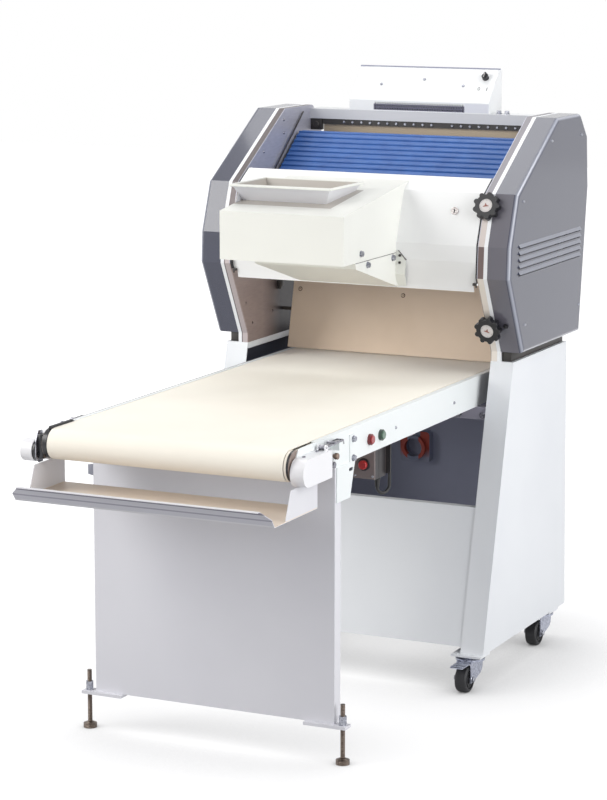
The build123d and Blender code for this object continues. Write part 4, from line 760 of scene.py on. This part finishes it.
def add_dial_marks(name, origin, normal, rise, pointing):
    """Ticks and a pointer on the face of a dial that stands out from the plate's edge."""
    stand = facing(Vector(origin) + Vector(normal) * rise, normal)
    ticks = bmesh.new()
    for count in range(tick_count):
        turn = Matrix.Rotation(count * math.tau / tick_count, 4, "Z")
        length = 0.0032 if count % 4 == 0 else 0.0018
        tick = bmesh.new()
        add_block(tick, (-0.0003, tick_end - length, -0.0002), (0.0003, tick_end, 0.0002), 0.00005)
        move(tick, stand @ turn)
        join(ticks, tick)
    add_piece(name + "_ticks", ticks, "dial_face", name, "tick_grey")
    needle = bmesh.new()
    add_prism(needle, [(x, y, 0.0) for x, y in arrow], (0.0, 0.0, 0.0005))
    add_turned(needle, pivot, Matrix.Identity(4), turns=20)
    move(needle, stand @ Matrix.Rotation(pointing, 4, "Z"))
    add_piece(name + "_needle", needle, "dial_face", name, "needle_brown")


add_dial_marks("knob_upper", (0.396, 0.3534, 1.336), hood_normal, 0.0223, 0.15)
add_dial_marks("knob_lower", (0.396, 0.3840, 0.999), (0.0, -0.9744, -0.2250), 0.0323, -0.3)

# %% [markdown]
# Beside the lower knob a black clamp tab stands on the cover, made of two small blocks. On the inside
# of the left plate sits a black stop, and a black bearing block closes each end of the comb, which
# also paints the shade at the comb's ends.

# %% Clamp tab, stop and comb ends
clamp_tab = bmesh.new()
add_block(clamp_tab, (-0.006, -0.005, 0.0), (0.006, 0.005, 0.007), 0.0015)
add_block(clamp_tab, (-0.004, -0.007, 0.0), (0.002, 0.007, 0.003), 0.0010)
move(clamp_tab, facing((0.442, front_at(1.006), 1.006), (0.0, -0.8895, -0.457)))
add_piece("clamp_tab", clamp_tab, "knob_black")

plate_stop = bmesh.new()
add_block(plate_stop, (-0.3810, head + 0.306, 1.0380), (-0.3700, head + 0.334, 1.0560), 0.0012)
add_block(plate_stop, (-0.3810, head + 0.312, 1.0300), (-0.3730, head + 0.328, 1.0390), 0.0012)
add_piece("plate_stop", plate_stop, "comb_black")

comb_ends = bmesh.new()
bearing_cap = [(0.0, 0.004), (0.007, 0.004), (0.009, 0.002), (0.009, 0.0), (0.0, 0.0)]
add_pair(comb_ends, (0.3805, head + 0.538, 1.4880), (0.3430, head + 0.553, 1.5210), 0.002)
for side in (-1, 1):
    add_turned(comb_ends, bearing_cap, facing((side * 0.362, head + 0.538, 1.5045), to_front))
add_piece("comb_ends", comb_ends, "comb_black")

# %% [markdown]
# A thin guard runs along each side of the ribbed belt, as a strip on the slope between the belt and
# the plate. A few screws show on the inside of the plates.

# %% Belt guards and plate screws
belt_guards = bmesh.new()
guard_outline = ((0.474, 1.5480), (0.226, 1.3480), (0.229, 1.3440), (0.477, 1.5440))
for side in (-1, 1):
    guard = [(side * 0.3738, head + y, z) for y, z in guard_outline]
    add_prism(belt_guards, guard, (side * 0.0025, 0.0, 0.0), 0.0006)
add_piece("belt_guards", belt_guards, "comb_black")

plate_screws = bmesh.new()
for side in (-1, 1):
    for y, z in ((0.6638, 1.5290), (0.6637, 1.4906), (0.5302, 1.4449), (0.787, 1.5414)):
        add_screw(plate_screws, (side * 0.381, y, z), (-side, 0.0, 0.0), 0.0042)
add_piece("plate_screws", plate_screws, "latch_steel")

# %% [markdown]
# The pressure board is held by three screws on brown washers. They ride on the board, since it
# goes up and down. Its face leans back, so the screws stand along the face's own normal.

# %% Board screws
board_lean = math.radians(13.5)
board_normal = Vector((0.0, -math.cos(board_lean), math.sin(board_lean)))
board_up = Vector((0.0, math.sin(board_lean), math.cos(board_lean)))
board_washers = bmesh.new()
board_screws = bmesh.new()
washer = [(0.0, 0.0008), (0.0064, 0.0008), (0.0068, 0.0004), (0.0068, 0.0), (0.0, 0.0)]
for screw_x in (-0.327, 0.007, 0.341):
    screw_foot = Vector((screw_x, head + 0.314, 0.858)) + board_up * 0.175
    add_turned(board_washers, washer, facing(screw_foot, board_normal), turns=28)
    add_screw(board_screws, screw_foot + board_normal * 0.0007, board_normal, 0.0044)
painted("washer_brown", (104, 78, 62), (90, 66, 52), 0.5, cloud=60.0)
metal("screw_brown", (168, 142, 120), (120, 98, 82), 0.34)
add_piece("board_washers", board_washers, "board_plastic", "board", "washer_brown")
add_piece("board_screws", board_screws, "fastener", "board", "screw_brown")

# %% [markdown]
# The blower box has a folded hem along its top edge, a 0 and an I beside its switch, and two bolts
# next to it on the crossbar. The hem is painted slate grey, so that it also draws the shade along
# the top edge. The 0 is a turned ring made narrower in one direction. A pale line on the switch
# turns with it.

# %% Blower trim
blower_hem = bmesh.new()
hem_outline = ((0.6180, 1.6772), (0.6180, 1.6806), (0.6260, 1.6806), (0.6260, 1.6772))
add_prism(blower_hem, [(-0.2515, head + y, z) for y, z in hem_outline], (0.4500, 0.0, 0.0), 0.0008)
add_piece("blower_hem", blower_hem, "slate_paint")

slope_normal = (0.0, -0.749, 0.663)
switch_marks = bmesh.new()
zero_ring = [(0.0042, 0.0), (0.0042, 0.0004), (0.0058, 0.0004), (0.0058, 0.0), (0.0042, 0.0)]
narrower = Matrix.Diagonal((0.62, 1.0, 1.0, 1.0))
zero_place = facing((0.1516, head + 0.5702, 1.6228), slope_normal)
add_turned(switch_marks, zero_ring, zero_place @ narrower, turns=24)
one_bar = bmesh.new()
add_block(one_bar, (-0.0009, -0.0056, -0.0002), (0.0009, 0.0056, 0.0004), 0.0001)
move(one_bar, facing((0.1770, head + 0.5699, 1.6225), slope_normal))
join(switch_marks, one_bar)
add_piece("switch_marks", switch_marks, "switch_black")

bar_bolts = bmesh.new()
for bolt_x in (0.222, 0.247):
    add_washer(bar_bolts, (bolt_x, head + 0.556, 1.5519), to_top, 0.0095, 0.0015)
    add_hex(bar_bolts, (bolt_x, head + 0.556, 1.5533), to_top, 0.013, 0.009)
add_piece("bar_bolts", bar_bolts, "fastener")

switch_line = bmesh.new()
add_block(switch_line, (-0.0006, -0.0085, 0.0178), (0.0006, 0.0085, 0.0184), 0.0001)
move(switch_line, facing((0.163, 0.9066, 1.6525), slope_normal))
add_piece("switch_line", switch_line, "dial_face", "fan_switch")

# %% [markdown]
# The hopper's funnel ends in a rolled rim. A closed curve with a round section follows the rim, and
# is then made a mesh. A small ear stands beside the funnel, and a flange with two hexagon screws
# joins the chute to the hood. Grey strips along the chute's edge and round the flange paint the
# shadow lines there.

# %% Funnel rim
rim_corners = ((-0.243, 0.048), (0.058, 0.048), (0.058, 0.263), (-0.243, 0.263))
rim_route = [(x, y, 1.3975) for x, y in rim_corners]
rim_curve, rim_line = round_curve("rim_curve", "POLY", rim_route, 0.0042, 4)
rim_line.use_cyclic_u = True
rim_object = bpy.data.objects.new("rim_object", rim_curve)
funnel_rim = bmesh.new()
funnel_rim.from_mesh(bpy.data.meshes.new_from_object(rim_object))
bpy.data.objects.remove(rim_object)
add_piece("funnel_rim", funnel_rim, "hopper_paint")

# %% Hopper trim
hopper_trim = bmesh.new()
add_prism(hopper_trim, [(-0.2352, 0.0550, 1.3475), (-0.2352, 0.1100, 1.3550), (-0.2352, 0.0749, 1.3770)],
          (0.002, 0.0, 0.0))
upper_flange = [(0.1372, 1.2080), (0.1450, 1.2070), (0.1680, 1.1830), (0.1655, 1.1430), (0.1372, 1.1430)]
lower_flange = [(0.1372, 1.1430), (0.1655, 1.1430), (0.1630, 1.1080), (0.1372, 1.1080)]
for flange in (upper_flange, lower_flange):
    add_prism(hopper_trim, [(x, front_at(z) - 0.0015, z) for x, z in flange], (0.0, 0.002, 0.0))
add_piece("hopper_trim", hopper_trim, "hopper_paint")

# Painted shadow lines under the hopper's right edge and along the flange
hopper_shadow_lines = bmesh.new()
add_block(hopper_shadow_lines, (0.1362, 0.0400, 1.2010), (0.1381, front_at(1.202), 1.2026), 0.0005)
flange_shadow_edge = [(0.1430, 1.2095), (0.1462, 1.2085), (0.1700, 1.1838), (0.1676, 1.1818)]
add_prism(hopper_shadow_lines, [(x, front_at(z) - 0.0022, z) for x, z in flange_shadow_edge], (0.0, 0.003, 0.0))
painted("shadow_line_grey", (122, 120, 118), (104, 102, 100), 0.5, cloud=60.0)
add_piece("hopper_shadow_lines", hopper_shadow_lines, "comb_black", paint="shadow_line_grey")

chute_screws = bmesh.new()
for screw_z in (1.195, 1.175):
    add_hex(chute_screws, (0.150, front_at(screw_z) - 0.0015, screw_z), to_front, 0.007, 0.004)
add_piece("chute_screws", chute_screws, "comb_black")

# %% [markdown]
# The two toggle latches press the conveyor's end onto its keepers. Each block carries two screws on
# its top, and below the keeper a knurled bolt and a hexagon nut stretch the belt. A wire bail hangs
# on each lever and rides with it.

# %% Conveyor end hardware
block_screws = bmesh.new()
stretch_bolts = bmesh.new()
stretch_nuts = bmesh.new()
cap = [(0.0, 0.0015), (0.002, 0.0015), (0.0022, 0.0032), (0.0036, 0.0032), (0.0042, 0.0024),
       (0.0042, 0.0), (0.0, 0.0)]
knurl = [(0.0, 0.014), (0.0072, 0.014), (0.0084, 0.0128), (0.0084, 0.006), (0.0076, 0.005),
         (0.005, 0.0045), (0.005, 0.0), (0.0, 0.0)]
keeper_face = 0.3478
for side in (-1, 1):
    out = (side, 0.0, 0.0)
    for screw_y in (-0.7526, -0.6774):
        add_turned(block_screws, cap, facing((side * 0.3625, screw_y, 0.8354), to_top), turns=24)
    add_turned(stretch_bolts, knurl, facing((side * keeper_face, -0.552, 0.801), out), turns=36)
    add_washer(stretch_nuts, (side * keeper_face, -0.566, 0.781), out, 0.0115, 0.002, turns=28)
    add_hex(stretch_nuts, (side * 0.3495, -0.566, 0.781), out, 0.016, 0.010)
add_piece("block_screws", block_screws, "latch_steel")
metal("bolt_brown", (146, 126, 114), (100, 84, 76), 0.36)
add_piece("stretch_bolts", stretch_bolts, "foot_steel", paint="bolt_brown")
add_piece("stretch_nuts", stretch_nuts, "latch_steel")

# %% Latch bails
pin = [(0.0, 0.0145), (0.0028, 0.0145), (0.0034, 0.0138), (0.0034, 0.0), (0.0, 0.0)]
longer = Matrix.Diagonal((1.0, 1.0, 1.7, 1.0))
low_z, high_z, half_width = 0.8445, 0.8465, 0.0095
for side, name in sides:
    bail = bmesh.new()
    middle = side * 0.366
    for edge in (-1, 1):
        add_block(bail, (middle + edge * half_width, -0.600, low_z),
                  (middle + edge * 0.0075, -0.552, high_z), 0.0006)
    add_block(bail, (middle - half_width, -0.552, low_z), (middle + half_width, -0.550, high_z), 0.0006)
    add_turned(bail, pin, facing((middle - 0.0123, -0.602, 0.8455), to_right) @ longer, turns=20)
    add_piece("latch_bail_" + name, bail, "latch_steel", "latch_" + name)

# %% [markdown]
# At the left end of the front roller a dark ring and a grey plate close the bearing, and a narrow
# black strip runs along the edge of the belt. Behind them a small lip stands out from the left
# bracket of the conveyor's leg.

# %% Left end of the conveyor
left_plate = bmesh.new()
plate_outline = ((-0.790, 0.8480), (-0.8030, 0.8220), (-0.8050, 0.7820), (-0.790, 0.7660),
                 (-0.770, 0.7660), (-0.770, 0.8470))
add_prism(left_plate, [(-0.3650, y, z) for y, z in plate_outline], (0.003, 0.0, 0.0), 0.0006)
add_piece("left_end_plate", left_plate, "latch_steel")

left_ring = bmesh.new()
ring = [(0.012, 0.0), (0.0265, 0.0), (0.027, 0.001), (0.027, 0.010), (0.0265, 0.011),
        (0.012, 0.011), (0.012, 0.0)]
add_turned(left_ring, ring, facing((-0.3760, -0.776, 0.7945), to_right), turns=40)
add_block(left_ring, (-0.3620, -0.7960, 0.7760), (-0.3460, -0.7720, 0.8400), 0.003)
add_piece("left_end_ring", left_ring, "carrier_plastic")

edge_strip = bmesh.new()
add_block(edge_strip, (-0.3400, -0.7780, 0.8510), (-0.3306, -0.6700, 0.8590), 0.0015)
add_block(edge_strip, (-0.3440, -0.7000, 0.8480), (-0.3400, -0.6600, 0.8560), 0.0010)
add_piece("belt_edge_strip", edge_strip, "tyre")

bracket_lip = bmesh.new()
lip_outline = ((-0.3480, 0.7170), (-0.3660, 0.7140), (-0.3660, 0.6880), (-0.3480, 0.6850))
add_prism(bracket_lip, [(x, -0.5395, z) for x, z in lip_outline], (0.0, 0.003, 0.0), 0.0006)
add_piece("bracket_lip", bracket_lip, "leg_paint")

# %% [markdown]
# A dark seam runs between the belt and each rail, from the carriers to the rear roller. Two bolts hold
# the crossmember under the conveyor.

# %% Belt seams and crossmember bolts
belt_seams = bmesh.new()
add_pair(belt_seams, (0.3304, -0.6450, 0.8460), (0.3327, 0.7250, 0.8520), 0.0006)
add_piece("belt_seams", belt_seams, "comb_black")

cross_bolts = bmesh.new()
for bolt_x in (0.296, 0.369):
    add_washer(cross_bolts, (bolt_x, 0.39796, 0.7450), to_front, 0.0100, 0.0016)
    add_hex(cross_bolts, (bolt_x, 0.3965, 0.7450), to_front, 0.013, 0.006)
add_piece("cross_bolts", cross_bolts, "latch_steel")

# %% [markdown]
# Each caster wheel has a hub with five rivets, which show how far it has rolled, and an axle nut on
# each side of its fork. The hubs ride on the wheels and the nuts on the swivelling forks. The brake
# pedals of the front casters get two raised treads.

# %% Casters
rivet_count = 5
dish = [(0.0055, 0.0140), (0.0055, 0.0168), (0.0105, 0.0168), (0.0120, 0.0145), (0.0190, 0.0140),
        (0.0205, 0.0165), (0.0225, 0.0165), (0.0230, 0.0120), (0.0055, 0.0120), (0.0055, 0.0140)]
axle_washer = [(0.0, 0.0015), (0.009, 0.0015), (0.0095, 0.001), (0.0095, 0.0), (0.0, 0.0)]
for end, axle_y in (("front", 0.196965), ("rear", 0.741965)):
    for side, name in sides:
        corner = end + "_" + name
        axle = Vector((side * 0.404, axle_y, 0.0375))
        hub = bmesh.new()
        nuts = bmesh.new()
        for way in (-1, 1):
            out = (way, 0.0, 0.0)
            add_turned(hub, dish, facing(axle, out), turns=40)
            for rivet in range(rivet_count):
                turn = Matrix.Rotation(rivet * math.tau / rivet_count, 4, "X")
                add_screw(hub, axle + turn @ Vector((way * 0.0140, 0.0, 0.0155)), out, 0.0017)
            add_turned(nuts, axle_washer, facing(axle + Vector((way * 0.0224, 0.0, 0.0)), out), turns=28)
            add_hex(nuts, axle + Vector((way * 0.0238, 0.0, 0.0)), out, 0.014, 0.006)
        add_piece("hub_" + corner, hub, "tyre", "wheel_" + corner)
        add_piece("axle_nuts_" + corner, nuts, "fastener", "swivel_" + corner)

# %% Pedal treads
for side, name in sides:
    tread = bmesh.new()
    for front_y, back_y in ((0.1370, 0.1500), (0.1560, 0.1760)):
        add_block(tread, (side * 0.3855, front_y, 0.0846), (side * 0.4225, back_y, 0.0858), 0.0005)
    add_piece("pedal_tread_" + name, tread, "zinc", "brake_" + name)

# %% [markdown]
# The control box has a lid seam, four lid screws and a collar round its stop button. A closed ring
# of four thin bars makes the seam.

# %% Control box trim
box_front, seam_front, seam_back, half = -0.1450, -0.1215, -0.1200, 0.0004
box_trim = bmesh.new()
for seam_x in (0.2149, 0.2811):
    add_block(box_trim, (seam_x - half, seam_front, 0.6585), (seam_x + half, seam_back, 0.7485), 0.0001)
for seam_z in (0.6559, 0.7511):
    add_block(box_trim, (0.2175, seam_front, seam_z - half), (0.2785, seam_back, seam_z + half), 0.0001)
collar = [(0.0125, 0.0), (0.0170, 0.0), (0.0170, 0.0022), (0.0160, 0.0032), (0.0125, 0.0032),
          (0.0125, 0.0)]
add_turned(box_trim, collar, facing((0.249, box_front, 0.695), to_front), turns=40)
add_piece("box_trim", box_trim, "switch_black")

box_screws = bmesh.new()
for screw_x in (0.2225, 0.2735):
    for screw_z in (0.6640, 0.7430):
        add_screw(box_screws, (screw_x, box_front, screw_z), to_front, 0.0034)
add_piece("box_screws", box_screws, "fastener")

# %% [markdown]
# A short lead leaves the box through a gland, hangs in a loop and goes up into the conveyor. It is
# a smooth spline drawn by seven control points, with a round section. The gland is a nut with a
# tapered sleeve, so that the lead bends gently where it leaves the box.

# %% Control lead
gland_x, gland_y = 0.265, -0.095035
rise_x, rise_y = 0.2836, -0.0566
lead_route = ((gland_x, gland_y, 0.642), (gland_x, gland_y, 0.6405), (gland_x, gland_y, 0.6160),
              (0.2743, -0.0758, 0.6037), (rise_x, rise_y, 0.6160), (rise_x, rise_y, 0.6405),
              (rise_x, rise_y, 0.765))
lead_curve, lead_line = round_curve("control_lead", "NURBS", lead_route, 0.0045, 6)
lead_curve.resolution_u = 24
lead_curve.use_fill_caps = True
lead_line.order_u = 3
lead_line.use_endpoint_u = True
lead_curve.materials.append(finish["lead_black"])
control_lead = bpy.data.objects.new("control_lead", lead_curve)
scene.collection.objects.link(control_lead)
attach(control_lead, "machine")
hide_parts("control_cable")

lead_gland = bmesh.new()
gland_sleeve = [(0.0046, 0.0), (0.0090, 0.0), (0.0090, 0.0085), (0.0084, 0.0100), (0.0074, 0.0112),
                (0.0072, 0.0160), (0.0064, 0.0230), (0.0056, 0.0300), (0.0046, 0.0305), (0.0046, 0.0)]
add_turned(lead_gland, gland_sleeve, facing((gland_x, gland_y, 0.6560), (0.0, 0.0, -1.0)), turns=36)
gland = add_piece("lead_gland", lead_gland, "lead_black")
print("lead of", len(lead_route), "control points")

# %% [markdown]
# A key slot on the hood's lock turns with it.

# %% Key slot
key_slot = bmesh.new()
add_block(key_slot, (-0.0018, -0.0052, 0.0026), (0.0018, 0.0052, 0.0034), 0.0002)
move(key_slot, facing((0.298, front_at(1.322), 1.322), hood_normal))
add_piece("key_slot", key_slot, "switch_black", "hood_lock")
